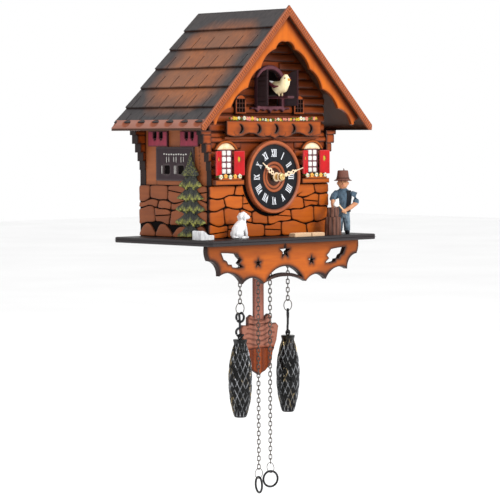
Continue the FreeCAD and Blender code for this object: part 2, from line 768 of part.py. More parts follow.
def hung_chain(x, count, ring, ring_wire):
    """Links from the chain rod down, then a split ring; gives the shapes and the ring's height."""
    depth = -S.chain_depth.number
    wire, width, pitch = S.link_wire.number, S.link_width.number, S.link_pitch.number
    play = 0.1
    length = pitch + 2 * wire + play
    span = length - wire
    z = S.rod_height.number + S.rod_radius.number + 0.15 + 0.5 * wire - 0.5 * span
    links = []
    for i in range(count + 1):
        turn = 90 if i % 2 == 0 else 0
        links.append(link_shape(Vector(x, depth, z - i * pitch), turn, length, width, wire))
    last = z - count * pitch - 0.5 * span
    centre = last + 0.5 * wire + ring_wire + 0.1 - ring
    normal = Vector(0, 1, 0) if count % 2 == 0 else Vector(1, 0, 0)
    links.append(ring_shape(Vector(x, depth, centre), normal, ring, ring_wire))
    return links, centre, normal


def weights():
    """Four chain strands on one rod: two with hooks and cones, two with pull rings."""
    depth = -S.chain_depth.number
    offset = S.weight_offset.number
    bar = rod("x", S.rod_radius, -36, 36, (-S.chain_depth, S.rod_height), name="chain_bar")
    posts = [box((x - 2, x + 2), (-90.9, -85), (S.base_thick, S.rod_height + 2)) for x in (-37, 37)]
    piece("chain_rod", join(bar, *posts, name="chain_rod"))
    for side, word in ((-1, "left"), (1, "right")):
        x = side * offset
        links, ring_height, _ = hung_chain(x, 16, 5.1, 0.4)
        piece(f"{word}_weight_chain", *[shaped(s, "link") for s in links])
        # A hook in the yz plane hangs inside the split ring and carries the cast cone's loop.
        eye = ring_height - 5.1 + 0.4 + 0.9 + 0.15
        hook = hook_shape(Vector(x, depth, eye), 3.0, 0.9, 18.6)
        top = eye - 21.6 + 0.9 + 0.8 + 0.15
        loop = ring_shape(Vector(x, depth, top - 2.2), Vector(0, 1, 0), 2.2, 0.8)
        cap = top - 2 * 2.2 - 0.2
        barrel = cone_weight(x, depth, cap).fuse(loop)
        piece(f"{word}_weight", shaped(barrel, "cone"), shaped(hook, "hook"))
    pulls = ((-1, "left", 56), (1, "right", 55))
    for side, word, count in pulls:
        x = side * S.pull_offset.number
        links, ring_height, normal = hung_chain(x, count, 4.7, 0.35)
        piece(f"{word}_pull_chain", *[shaped(s, "link") for s in links])
        across = Vector(1, 0, 0) if normal.y else Vector(0, 1, 0)
        centre = ring_height - 4.7 + 0.35 + 1.0 + 0.15 - 7.2
        piece(f"{word}_pull_ring", shaped(ring_shape(Vector(x, depth, centre), across, 7.2, 1.0),
                                          f"{word}_pull_ring"))


def hook_shape(top, bend, wire, drop):
    """A hook bent from wire in the yz plane: a closed eye, a shank and an open lower bow."""
    eye = ring_shape(Vector(0, 0, -bend), Vector(1, 0, 0), bend, wire)
    shank = Part.makeCylinder(0.9 * wire, drop - 3 * bend, Vector(0, 0, bend - drop))
    bow = ring_shape(Vector(0, 0, -drop), Vector(1, 0, 0), bend, wire)
    mouth = Part.makeBox(4 * wire, 2 * bend, 0.9 * bend, Vector(-2 * wire, 0.3 * bend, -drop))
    hook = eye.fuse(shank).fuse(bow.cut(mouth))
    hook.translate(top)
    return hook


def cone_weight(x, y, top):
    """A cast fir cone: a rim, a neck and a long barrel, turned about its upright axis."""
    widest, tall = S.cone_radius.number, S.cone_length.number
    spots = [(0, 0), (6.5, 0), (6.5, -2.2), (5.8, -4.2), (widest, -0.5 * tall), (6.2, 2 - tall),
             (5, -tall), (0, -tall)]
    points = [Vector(r, 0, z) for r, z in spots]
    edges = []
    for i, (a, b) in enumerate(zip(points, points[1:] + points[:1])):
        if i == 3:
            edges.append(Part.Arc(a, Vector(9.2, 0, -0.25 * tall), b).toShape())
        elif i == 4:
            edges.append(Part.Arc(a, Vector(9.7, 0, -0.78 * tall), b).toShape())
        else:
            edges.append(Part.LineSegment(a, b).toShape())
    body = Part.Face(Part.Wire(edges)).revolve(Vector(), Vector(0, 0, 1), 360)
    body.translate(Vector(x, y, top))
    return body


# --- figures on the base --------------------------------------------------------------------


def limb(joints, radii):
    """A bent limb: rounded cylinders from joint to joint."""
    parts = []
    for a, b, radius in zip(joints, joints[1:], radii):
        parts.append(Part.makeCylinder(radius, (b - a).Length, a, b - a))
        parts.append(Part.makeSphere(radius, a))
    parts.append(Part.makeSphere(radii[-1], joints[-1]))
    return parts[0].multiFuse(parts[1:])


def woodcutter():
    """A standing woodcutter in a hat; one arm holds the log, the other swings the hatchet."""
    floor = S.base_thick.number
    x, y = 84.5, -107.5
    boots = [ball((x - 4.2, y + 1.2, floor + 2.2), (3.4, 3.6, 2.2)),
             ball((x + 3.0, y - 3.6, floor + 2.2), (3.4, 3.6, 2.2))]
    legs = [cone((x - 3, y + 2, floor + 1.5), 2.9, 4.2, 19.5),
            cone((x + 3, y - 2, floor + 1.5), 2.9, 4.2, 19.5)]
    trunk = ball((x, y, floor + 30), (7.2, 7.2, 12.5))
    head = ball((x - 2, y - 1.6, floor + 47.5), (5.0, 5.0, 6.2))
    brim = cone((x - 2, y - 1.6, floor + 50.5), 8.4, 8.0, 1.6)
    crown = cone((x - 2, y - 1.6, floor + 51.5), 6, 4.8, 8)
    arm = limb([Vector(78.6, -101.8, 43), Vector(72.5, -105.5, 37), Vector(68.3, -110.1, 29)], (2.6, 2.1))
    piece("woodcutter", join(*boots, *legs, trunk, head, brim, crown, shaped(arm), name="woodcutter"))
    shoulder = Vector(90.6, -116.4, 42)
    hand = Vector(76.5, -116.5, 26.5)
    swinging = limb([shoulder, Vector(89.5, -119.6, 34), hand], (2.5, 2.1))
    poll = Vector(68, -116, 34)
    handle = Part.makeCylinder(0.8, (poll - hand).Length + 4, hand - (poll - hand) * 0.3, poll - hand)
    blade = Part.makeBox(3.4, 1.8, 7.5, Vector(66.2, -116.9, 31.2))
    piece("axe_arm", shaped(swinging.multiFuse([handle, blade]), "axe_arm"))


def yard():
    """Chopping block and log, two planks, a trough and a sitting dog."""
    floor = S.base_thick
    block = cone((62.5, -115.5, floor), 7.6, 7.2, 16.4)
    log = rod("z", 5.6, floor + 16.5, floor + 25.4, (62.5, -115.5))
    planks = [
        box((3, 24), (-126, -118), (floor, floor + 3.6)),
        box((24.3, 40.2), (-127, -119.5), (floor, floor + 3.4)),
    ]
    hollow = box((-96.5, -83.5), (-108.5, -99.5), (floor + 2, floor + 9))
    trough = cut(box((-98, -82), (-110, -98), (floor, floor + 8.5)), hollow)
    piece("firewood_and_trough", block, log, *planks, trough)
    rump = ball((-54, -112, 10.6), (8, 5.4, 5.6))
    chest = ball((-49.5, -112, 15.5), (4.8, 4.6, 9.6))
    head = ball((-48.5, -112, 25.2), (5.4, 4.0, 4.2))
    snout = ball((-43.8, -112.4, 24), (3.4, 2.2, 2.0))
    paws = [box((-49, -44.5), (y - 1.4, y + 1.4), (floor, 12)) for y in (-114.4, -109.6)]
    piece("dog", join(rump, chest, head, snout, *paws, name="dog"))


case()
hanger()
roof()
corner_ends()
bracket()
balcony()
windows()
side_trim()
dial()
motion_work()
movement()
cuckoo()
pendulum()
weights()
woodcutter()
yard()

doc.recompute()
for item in doc.Objects:
    if "Invalid" in item.State or "Error" in item.State:
        raise RuntimeError(f"{item.Label} did not recompute: {item.State}")
for item in NODES:
    if item.Shape.isNull() or not item.Shape.isValid() or item.Shape.Volume <= 0:
        raise RuntimeError(f"{item.Label} has no valid shape")

os.makedirs("parts", exist_ok=True)
for item in NODES:
    item.Shape.exportStep(f"parts/{item.Label}.step")
print(len(NODES), "pieces written")
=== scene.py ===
import math
import random

import bpy
import numpy as np
from mathutils import Matrix, Vector
from mathutils.geometry import delaunay_2d_cdt


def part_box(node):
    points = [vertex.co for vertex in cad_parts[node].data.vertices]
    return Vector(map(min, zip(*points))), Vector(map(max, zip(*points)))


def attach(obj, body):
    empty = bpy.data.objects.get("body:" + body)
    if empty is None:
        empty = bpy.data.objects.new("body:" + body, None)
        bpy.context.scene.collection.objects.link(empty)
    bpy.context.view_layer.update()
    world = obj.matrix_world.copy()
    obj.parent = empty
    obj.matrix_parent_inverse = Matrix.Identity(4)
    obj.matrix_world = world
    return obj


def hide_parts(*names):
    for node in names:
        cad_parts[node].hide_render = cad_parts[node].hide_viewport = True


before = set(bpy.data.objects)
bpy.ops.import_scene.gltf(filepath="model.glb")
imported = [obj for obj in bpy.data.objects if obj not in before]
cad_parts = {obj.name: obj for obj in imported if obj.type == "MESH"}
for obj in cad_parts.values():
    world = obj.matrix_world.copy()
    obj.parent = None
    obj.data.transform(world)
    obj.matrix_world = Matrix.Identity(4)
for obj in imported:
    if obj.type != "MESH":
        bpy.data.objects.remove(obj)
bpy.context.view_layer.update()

# Shapes are worked out in millimetres, with x to the right, y back to the wall and z up from the
# underside of the base plate; place() turns them into the frame's metres.
MM = 0.001
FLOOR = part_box("base_plate")[0][2]


def edge(node, side, axis):
    """One face of a CAD node's box in clock millimetres: side 0 is low and 1 is high."""
    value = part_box(node)[side][axis] / MM
    return value - FLOOR / MM if axis == 2 else value


def place(points):
    world = np.asarray(points, float) * MM
    world[:, 2] += FLOOR
    return world


# --- materials ------------------------------------------------------------------------------

class Nodes:
    """A new material with short calls for its nodes; fixed numbers sit on the shader's sockets."""

    def __init__(self, name, rough=0.5, metal=0.0, coat=0.0, gloss=0.5):
        self.material = bpy.data.materials.new(name)
        self.material.use_nodes = True
        self.tree = self.material.node_tree
        self.shader = self.tree.nodes["Principled BSDF"]
        fixed = {"Roughness": rough, "Metallic": metal, "Coat Weight": coat, "Coat Roughness": 0.25,
                 "Specular IOR Level": gloss}
        for socket, number in fixed.items():
            self.shader.inputs[socket].default_value = number
        self.space = self.add("ShaderNodeTexCoord").outputs["Object"]

    def add(self, kind, **settings):
        node = self.tree.nodes.new(kind)
        for key, value in settings.items():
            setattr(node, key, value)
        return node

    def link(self, start, end):
        self.tree.links.new(start, end)

    def noise(self, scale, detail, rough, stretch=(1, 1, 1)):
        """Noise in the object's own space; a small stretch number draws it out along that axis."""
        mapping = self.add("ShaderNodeMapping")
        mapping.inputs["Scale"].default_value = stretch
        self.link(self.space, mapping.inputs["Vector"])
        texture = self.add("ShaderNodeTexNoise")
        texture.inputs["Scale"].default_value = scale
        texture.inputs["Detail"].default_value = detail
        texture.inputs["Roughness"].default_value = rough
        self.link(mapping.outputs["Vector"], texture.inputs["Vector"])
        return texture.outputs["Fac"]

    def ramp(self, factor, stops):
        """Colours along a factor: stops are (position, colour)."""
        node = self.add("ShaderNodeValToRGB")
        elements = node.color_ramp.elements
        while len(elements) < len(stops):
            elements.new(0.5)
        for element, (position, colour) in zip(elements, stops):
            element.position = position
            element.color = (*colour, 1)
        self.link(factor, node.inputs["Fac"])
        return node.outputs["Color"]

    def value(self, attribute):
        node = self.add("ShaderNodeAttribute", attribute_name=attribute)
        return node.outputs["Fac"]

    def feed(self, sockets, given):
        """Fills sockets with numbers, colours or other nodes' outputs."""
        for socket, value in zip(sockets, given):
            if isinstance(value, (int, float)):
                socket.default_value = value
            elif isinstance(value, tuple):
                socket.default_value = (*value, 1)
            else:
                self.link(value, socket)

    def mix(self, factor, first, second):
        node = self.add("ShaderNodeMix", data_type="RGBA")
        self.feed([node.inputs[k] for k in (0, 6, 7)], (factor, first, second))
        return node.outputs[2]

    def maths(self, operation, first, second):
        node = self.add("ShaderNodeMath", operation=operation, use_clamp=True)
        self.feed(node.inputs, (first, second))
        return node.outputs[0]

    def finish(self, colour, grain, low, high, strength, distance):
        """Joins the colour, and lets the grain vary the roughness and raise the surface."""
        self.link(colour, self.shader.inputs["Base Color"])
        spread = self.add("ShaderNodeMapRange")
        self.feed([spread.inputs[k] for k in ("Value", "To Min", "To Max")], (grain, low, high))
        self.link(spread.outputs["Result"], self.shader.inputs["Roughness"])
        bump = self.add("ShaderNodeBump")
        self.feed([bump.inputs[k] for k in ("Strength", "Distance", "Height")], (strength, distance, grain))
        self.link(bump.outputs["Normal"], self.shader.inputs["Normal"])
        return self.material


def darker(colour, share):
    return tuple(share * c for c in colour)


GRAIN = {"x": (0.12, 1, 1), "y": (1, 0.12, 1), "z": (1, 1, 0.12)}


def wood(name, light, dark, burnt=(0.02, 0.01, 0.008), grain="x", rough=0.42, coat=0.03,
         tints=0.35, second=None):
    """Stained wood: grain streaks, a tint for each piece and scorched edges.

    The mesh's "burn" value darkens edges and grooves, and its "tint" shifts one piece's shade
    towards a second stain.
    """
    n = Nodes(name, rough, coat=coat, gloss=0.2)
    streaks = n.noise(260, 6, 0.6, GRAIN[grain])
    clouds = n.noise(34, 3, 0.5)
    base = n.ramp(streaks, [(0.3, dark), (0.68, light)])
    shade = n.ramp(clouds, [(0.3, darker(light, 0.72)), (0.7, light)])
    base = n.mix(0.4, base, shade)
    tinted = n.mix(n.maths("MULTIPLY", n.value("tint"), tints), base, second or darker(dark, 0.55))
    worn = n.maths("ADD", n.value("burn"), n.maths("MULTIPLY", n.maths("SUBTRACT", clouds, 0.5), 0.5))
    scorch = n.maths("MULTIPLY", worn, n.maths("GREATER_THAN", n.value("burn"), 0.001))
    return n.finish(n.mix(scorch, tinted, burnt), streaks, rough - 0.08, rough + 0.14, 0.25, 0.0003)


def paint(name, colour, spots=None, rough=0.45, scale=220, burnt=None, gloss=0.2):
    """Brushed paint: slight brush marks, uneven thickness and darker worn edges."""
    n = Nodes(name, rough, gloss=gloss)
    marks = n.noise(scale, 5, 0.6, (1, 1, 0.4))
    base = n.ramp(marks, [(0.32, spots or darker(colour, 0.72)), (0.6, colour)])
    worn = n.mix(n.value("burn"), base, burnt or darker(colour, 0.18))
    return n.finish(worn, marks, rough - 0.07, rough + 0.12, 0.2, 0.0003)


def moulded(name, colour, rough=0.4):
    """Moulded plastic with a fine spark-eroded texture and faint flow marks."""
    n = Nodes(name, rough)
    fine = n.noise(900, 2, 0.5)
    broad = n.noise(40, 2, 0.5)
    flow = n.ramp(broad, [(0.3, darker(colour, 0.8)), (0.7, colour)])
    return n.finish(flow, fine, rough - 0.06, rough + 0.1, 0.18, 0.0001)


def metal(name, colour, tarnish, rough=0.32):
    """Metal with tarnish clouds and fine scratches."""
    n = Nodes(name, rough, metal=1.0)
    clouds = n.noise(300, 5, 0.6)
    scratches = n.noise(900, 3, 0.6, (1, 0.1, 1))
    aged = n.ramp(clouds, [(0.35, tarnish), (0.65, colour)])
    return n.finish(aged, scratches, rough - 0.08, rough + 0.16, 0.12, 0.0001)


LOOK = {
    "log": wood("log_wood", (0.38, 0.070, 0.005), (0.14, 0.018, 0.002), (0.012, 0.004, 0.003), "x",
                tints=0.55),
    "side_log": wood("side_wood", (0.37, 0.115, 0.040), (0.25, 0.070, 0.026), (0.03, 0.012, 0.008), "y",
                     tints=0.3),
    "stone": wood("stone_wood", (0.50, 0.108, 0.005), (0.32, 0.057, 0.004), (0.040, 0.008, 0.003), "x",
                  tints=0.5),
    "side_stone": wood("side_stone_wood", (0.31, 0.090, 0.030), (0.20, 0.052, 0.018), (0.02, 0.006, 0.004),
                       "y"),
    "fret": wood("fret_wood", (0.44, 0.096, 0.005), (0.28, 0.050, 0.003), (0.020, 0.008, 0.006), "x"),
    # The balcony wood is a darker copy of the fretwork wood: painted shade under the roof.
    "balcony": wood("balcony_wood_shaded", (0.34, 0.066, 0.004), (0.20, 0.032, 0.002), (0.015, 0.006, 0.004), "x"),
    "barge": wood("barge_wood", (0.54, 0.120, 0.003), (0.36, 0.064, 0.003), (0.09, 0.014, 0.003), "z"),
    "trim": wood("trim_wood", (0.38, 0.096, 0.024), (0.24, 0.050, 0.013), (0.035, 0.007, 0.004), "z"),
    "rim": wood("rim_wood", (0.38, 0.095, 0.026), (0.22, 0.046, 0.014), (0.012, 0.004, 0.003), "x",
                coat=0.15),
    "eave": wood("eave_wood", (0.34, 0.150, 0.108), (0.24, 0.090, 0.062), (0.20, 0.040, 0.008), "y"),
    "dark": wood("dark_wood", (0.055, 0.036, 0.040), (0.026, 0.016, 0.019), (0.008, 0.005, 0.005), "z"),
    "red_wood": wood("red_wood", (0.31, 0.062, 0.014), (0.20, 0.034, 0.009), (0.035, 0.008, 0.005), "z",
                     tints=1.0, second=(0.29, 0.110, 0.072)),
    "stick": wood("stick_wood", (0.34, 0.125, 0.085), (0.24, 0.075, 0.050), (0.05, 0.02, 0.015), "z"),
    "back": wood("back_wood", (0.46, 0.29, 0.16), (0.34, 0.20, 0.10), (0.08, 0.04, 0.02), "z", rough=0.6,
                 coat=0),
    "plank": wood("plank_wood", (0.80, 0.58, 0.38), (0.66, 0.42, 0.25), (0.3, 0.17, 0.09), "x", coat=0),
    "bark": wood("bark_wood", (0.20, 0.085, 0.055), (0.085, 0.032, 0.022), (0.03, 0.015, 0.012), "z", coat=0),
    "mauve": paint("mauve_paint", (0.125, 0.040, 0.052), burnt=(0.020, 0.007, 0.009)),
    "magenta": paint("magenta_paint", (0.33, 0.040, 0.072), burnt=(0.02, 0.01, 0.012)),
    "red": paint("red_paint", (0.46, 0.002, 0.005), burnt=(0.42, 0.07, 0.07)),
    "plum": paint("plum_paint", (0.034, 0.018, 0.023), burnt=(0.09, 0.07, 0.07)),
    "white": paint("white_paint", (0.82, 0.80, 0.76), (0.66, 0.63, 0.58)),
    "cream": paint("cream_paint", (0.88, 0.74, 0.52), (0.72, 0.50, 0.28), burnt=(0.34, 0.15, 0.05)),
    "fir": paint("fir_paint", (0.050, 0.052, 0.045), (0.018, 0.020, 0.018), burnt=(0.40, 0.40, 0.09),
                 scale=300),
    "black": paint("black_lacquer", (0.012, 0.009, 0.010), (0.005, 0.004, 0.005), burnt=(0.03, 0.025, 0.026)),
    "soot": paint("soot_paint", (0.007, 0.005, 0.005), rough=0.8, gloss=0.05),
    "dial_black": paint("dial_black", (0.009, 0.010, 0.013), (0.005, 0.006, 0.008), gloss=0.12),
    "ivory": moulded("ivory_plastic", (0.78, 0.60, 0.40), 0.35),
    "numeral": moulded("numeral_white", (0.72, 0.74, 0.78), 0.4),
    "black_plastic": moulded("black_plastic", (0.022, 0.022, 0.025)),
    "white_plastic": moulded("white_plastic", (0.8, 0.8, 0.77)),
    "brass": metal("brass", (0.80, 0.60, 0.28), (0.52, 0.36, 0.14)),
    "steel": metal("steel", (0.66, 0.66, 0.68), (0.42, 0.42, 0.43)),
    "chain": metal("chain_steel", (0.17, 0.15, 0.135), (0.06, 0.05, 0.045), 0.45),
    "black_steel": metal("black_steel", (0.045, 0.045, 0.05), (0.02, 0.02, 0.02), 0.3),
    "copper": metal("copper", (0.78, 0.36, 0.18), (0.5, 0.2, 0.1)),
    "skin": paint("skin_paint", (0.56, 0.28, 0.15), (0.40, 0.17, 0.085), rough=0.5),
    "shirt": paint("shirt_paint", (0.085, 0.135, 0.185), (0.022, 0.038, 0.056), rough=0.6, scale=520),
    "trousers": paint("trouser_paint", (0.17, 0.23, 0.28), (0.035, 0.055, 0.08), rough=0.6, scale=620),
    "vest": paint("vest_paint", (0.012, 0.013, 0.017), rough=0.6, gloss=0.1),
    "felt": paint("hat_paint", (0.15, 0.062, 0.045), (0.07, 0.026, 0.018), rough=0.7),
    "dog_white": paint("dog_white", (0.80, 0.80, 0.80), (0.52, 0.52, 0.54), rough=0.55, scale=420),
    "bird_cream": paint("bird_cream", (0.84, 0.72, 0.46), (0.74, 0.58, 0.30), rough=0.4),
    "wing": paint("wing_paint", (0.13, 0.02, 0.03), (0.05, 0.01, 0.014)),
    "leaf": paint("leaf_paint", (0.11, 0.20, 0.035), (0.05, 0.10, 0.02), scale=500),
    "petal_white": paint("petal_white", (0.68, 0.67, 0.58), (0.46, 0.46, 0.34), scale=500),
    "petal_yellow": paint("petal_yellow", (0.62, 0.46, 0.04), (0.42, 0.27, 0.02), scale=500),
    "petal_pink": paint("petal_pink", (0.70, 0.25, 0.22), (0.5, 0.14, 0.12), scale=500),
    "petal_orange": paint("petal_orange", (0.85, 0.42, 0.10), (0.65, 0.25, 0.05), scale=500),
    "battery": paint("cell_sleeve", (0.10, 0.16, 0.22), rough=0.3),
    "board": moulded("board_green", (0.03, 0.19, 0.07), 0.35),
}


def roof_wood():
    """Shingles sprayed from warm brown at the middle of the slope to near black at its edges."""
    n = Nodes("roof_wood", 0.5, gloss=0.2)
    streaks = n.noise(420, 5, 0.6, (0.35, 1, 0.35))
    clouds = n.noise(22, 3, 0.5, (1, 0.7, 1))
    warm = n.ramp(streaks, [(0.3, (0.17, 0.047, 0.013)), (0.7, (0.34, 0.108, 0.032))])
    pale = n.mix(n.maths("MULTIPLY", n.value("tint"), 0.6), warm, (0.20, 0.092, 0.050))
    sprayed = n.maths("ADD", n.value("spray"), n.maths("MULTIPLY", n.maths("SUBTRACT", clouds, 0.42), 1.5))
    grey = n.ramp(streaks, [(0.3, (0.013, 0.011, 0.012)), (0.7, (0.052, 0.044, 0.044))])
    toned = n.mix(n.maths("MULTIPLY", sprayed, n.maths("GREATER_THAN", n.value("spray"), 0.01)), pale, grey)
    return n.finish(n.mix(n.value("burn"), toned, (0.012, 0.006, 0.006)), streaks, 0.38, 0.62, 0.3, 0.0004)


def cast_cone():
    """Black cast fir cones; the silver and gold on the ridges is partly worn metal and partly painted glint.
    """
    n = Nodes("cone_cast", 0.2, gloss=0.15)
    clouds = n.noise(90, 3, 0.6, (1, 1, 0.5))
    fine = n.noise(700, 4, 0.6)
    # Silver to gold ridge colour: partly worn metal, partly painted glint, broken into patches below.
    worn = n.ramp(clouds, [(0.55, (0.40, 0.41, 0.43)), (0.65, (0.50, 0.37, 0.17))])
    wear_and_glint_patches = n.maths("MULTIPLY", n.maths("SUBTRACT", n.noise(210, 3, 0.6), 0.40), 5.0)
    ridge = n.maths("MULTIPLY", n.value("ridge"), wear_and_glint_patches)
    n.link(n.maths("MULTIPLY", ridge, 0.5), n.shader.inputs["Metallic"])
    return n.finish(n.mix(ridge, (0.003, 0.003, 0.003), worn), fine, 0.12, 0.32, 0.2, 0.0002)


LOOK["roof"] = roof_wood()
LOOK["cone"] = cast_cone()


# --- mesh building --------------------------------------------------------------------------

class Pile:
    """Collects parts of one piece: points, faces and values painted on the points."""

    def __init__(self):
        self.points, self.faces, self.values = [], [], {}
        self.count = 0

    def add(self, points, faces, **values):
        points = np.asarray(points, float)
        for name in set(self.values) | set(values):
            column = self.values.setdefault(name, [np.zeros(self.count)] if self.count else [])
            given = values.get(name, 0.0)
            column.append(np.broadcast_to(np.asarray(given, float), (len(points),)).copy())
        self.points.append(points)
        self.faces += [[self.count + i for i in face] for face in faces]
        self.count += len(points)

    def piece(self, name, look, body="case", stands_for=(), node=None, smooth=False):
        mesh = bpy.data.meshes.new(name)
        mesh.from_pydata(place(np.concatenate(self.points)).tolist(), [], self.faces)
        mesh.validate()
        for value, columns in self.values.items():
            layer = mesh.attributes.new(value, "FLOAT", "POINT")
            layer.data.foreach_set("value", np.concatenate(columns).astype(np.float32))
        mesh.materials.append(LOOK[look])
        if smooth:
            mesh.shade_smooth()
            mesh.set_sharp_from_angle(angle=math.radians(38))
        obj = bpy.data.objects.new(name, mesh)
        bpy.context.scene.collection.objects.link(obj)
        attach(obj, body)
        nodes = [stands_for] if isinstance(stands_for, str) else list(stands_for)
        if nodes:
            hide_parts(*nodes)
        return obj


def grid_faces(rows, columns, closed=True):
    """Quads between rows of points; closed joins the last column to the first."""
    faces = []
    for r in range(rows - 1):
        for c in range(columns if closed else columns - 1):
            d = (c + 1) % columns
            faces.append((r * columns + c, r * columns + d, (r + 1) * columns + d, (r + 1) * columns + c))
    return faces


def loft(rings, caps=True):
    """Points and faces through rings of equal length, with fans over the ends."""
    rings = [np.asarray(r, float) for r in rings]
    size = len(rings[0])
    points = np.concatenate(rings)
    faces = grid_faces(len(rings), size)
    if caps:
        points = np.vstack([points, rings[0].mean(0), rings[-1].mean(0)])
        start, end, last = len(points) - 2, len(points) - 1, (len(rings) - 1) * size
        for c in range(size):
            d = (c + 1) % size
            faces.append((start, d, c))
            faces.append((end, last + c, last + d))
    return points, faces


def circle(centre, across, up, radius, squash=1.0, count=20):
    """A ring of points: across and up span its plane."""
    angles = np.linspace(0, 2 * math.pi, count, endpoint=False)[:, None]
    across, up = np.asarray(across, float), np.asarray(up, float)
    return np.asarray(centre, float) + radius * (np.cos(angles) * across + squash * np.sin(angles) * up)


def limb(spine, radii, count=16, squash=1.0):
    """A round limb along a spine, with rounded ends."""
    spine = [Vector(p) for p in spine]
    rings = []
    last = len(spine) - 1
    for i, (point, radius) in enumerate(zip(spine, radii)):
        along = (spine[min(i + 1, last)] - spine[max(i - 1, 0)]).normalized()
        side = along.cross(Vector((0, 0.3, 1)) if abs(along.z) < 0.9 else Vector((0, 1, 0))).normalized()
        up = side.cross(along)
        if i == 0:
            rings.append(circle(point - along * radius * 0.7, side, up, radius * 0.45, squash, count))
        rings.append(circle(point, side, up, radius, squash, count))
        if i == last:
            rings.append(circle(point + along * radius * 0.7, side, up, radius * 0.45, squash, count))
    return loft(rings)


def blob(centre, radii, turn=0.0, lean=0.0, count=24):
    """A rounded form with its three radii, turned about z and leaned about its own x."""
    rings = []
    steps = 14
    spin = Matrix.Rotation(turn, 3, "Z") @ Matrix.Rotation(lean, 3, "X")
    for i in range(steps + 1):
        tilt = math.pi * (i + 0.02) / (steps + 0.04) - math.pi / 2
        ring = circle((0, 0, math.sin(tilt)), (1, 0, 0), (0, 1, 0), math.cos(tilt), count=count)
        rings.append(np.array([spin @ Vector(p * np.asarray(radii)) for p in ring]) + centre)
    return loft(rings)


def closed_tube(rings):
    """Points and faces of a tube whose last ring joins its first."""
    around = len(rings[0])
    faces = grid_faces(len(rings), around)
    last = (len(rings) - 1) * around
    faces += [(last + c, last + (c + 1) % around, (c + 1) % around, c) for c in range(around)]
    return np.concatenate(rings), faces


def torus(centre, normal, radius, wire, count=36, around=10):
    """A wire ring square to its normal."""
    normal = Vector(normal).normalized()
    up = Vector((0, 0, 1)) if abs(normal.z) < 0.9 else Vector((0, 1, 0))
    side = up.cross(normal).normalized()
    rings = []
    for i in range(count):
        angle = 2 * math.pi * i / count
        out = side * math.cos(angle) + up * math.sin(angle)
        rings.append(circle(Vector(centre) + out * radius, out.normalized(), normal, wire, count=around))
    return closed_tube(rings)


# --- sawn boards ----------------------------------------------------------------------------

def inside(points, loops):
    """Which points lie inside the outline and outside its holes."""
    odd = np.zeros(len(points), bool)
    x, y = points[:, 0], points[:, 1]
    for loop in loops:
        ends = np.roll(loop, -1, axis=0)
        for (ax, ay), (bx, by) in zip(loop, ends):
            if ay != by:
                crosses = (ay > y) != (by > y)
                odd ^= crosses & (x < (bx - ax) * (y - ay) / (by - ay) + ax)
    return odd


def gap(points, loops):
    """Each point's distance to the nearest edge."""
    best = np.full(len(points), 1e9)
    for loop in loops:
        for start, end in zip(loop, np.roll(loop, -1, axis=0)):
            along = end - start
            share = np.clip(((points - start) @ along) / max(along @ along, 1e-12), 0, 1)
            best = np.minimum(best, np.linalg.norm(points - start - share[:, None] * along, axis=1))
    return best


def respaced(loop, spacing):
    """The same outline with points no further apart than spacing, and without crowded ones."""
    loop = np.asarray(loop, float)
    kept = [loop[0]]
    for i in range(1, len(loop)):
        before, here, after = kept[-1], loop[i], loop[(i + 1) % len(loop)]
        first, second = here - before, after - here
        turn = abs(math.atan2(first[0] * second[1] - first[1] * second[0], first @ second))
        if np.linalg.norm(first) > 0.35 * spacing or turn > 0.5:
            kept.append(here)
    result = []
    for start, end in zip(kept, kept[1:] + kept[:1]):
        steps = max(1, math.ceil(np.linalg.norm(end - start) / spacing))
        result += [start + (end - start) * k / steps for k in range(steps)]
    return np.array(result)


def face_loops(node, axis, side, level=None):
    """Outlines of a CAD node's flat face, square to an axis and on its low (0) or high (1) side."""
    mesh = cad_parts[node].data
    mesh.calc_loop_triangles()
    points = np.array([v.co for v in mesh.vertices], float)
    points[:, 2] -= FLOOR
    points /= MM
    if level is None:
        level = points[:, axis].max() if side else points[:, axis].min()
    triangles = np.array([t.vertices for t in mesh.loop_triangles])
    flat = (abs(points[triangles][:, :, axis] - level) < 0.02).all(axis=1)
    plane = np.delete(points, axis, axis=1)
    keys = [tuple(k) for k in np.round(plane * 100).astype(int)]
    spot = {key: plane[i] for i, key in enumerate(keys)}
    edges = set()
    for a, b, c in triangles[flat]:
        for start, end in ((a, b), (b, c), (c, a)):
            edges.add((keys[start], keys[end]))
    following = {a: b for a, b in edges if (b, a) not in edges and a != b}
    loops = []
    while following:
        start, here = following.popitem()
        loop = [start]
        while here != start and here in following:
            loop.append(here)
            here = following.pop(here)
        if len(loop) > 2:
            loops.append(np.array([spot[k] for k in loop]))
    return loops


def lay(axis, flat, depth):
    """Plane points back in space: depth goes along the axis."""
    return np.insert(np.asarray(flat, float), axis, depth, axis=1)


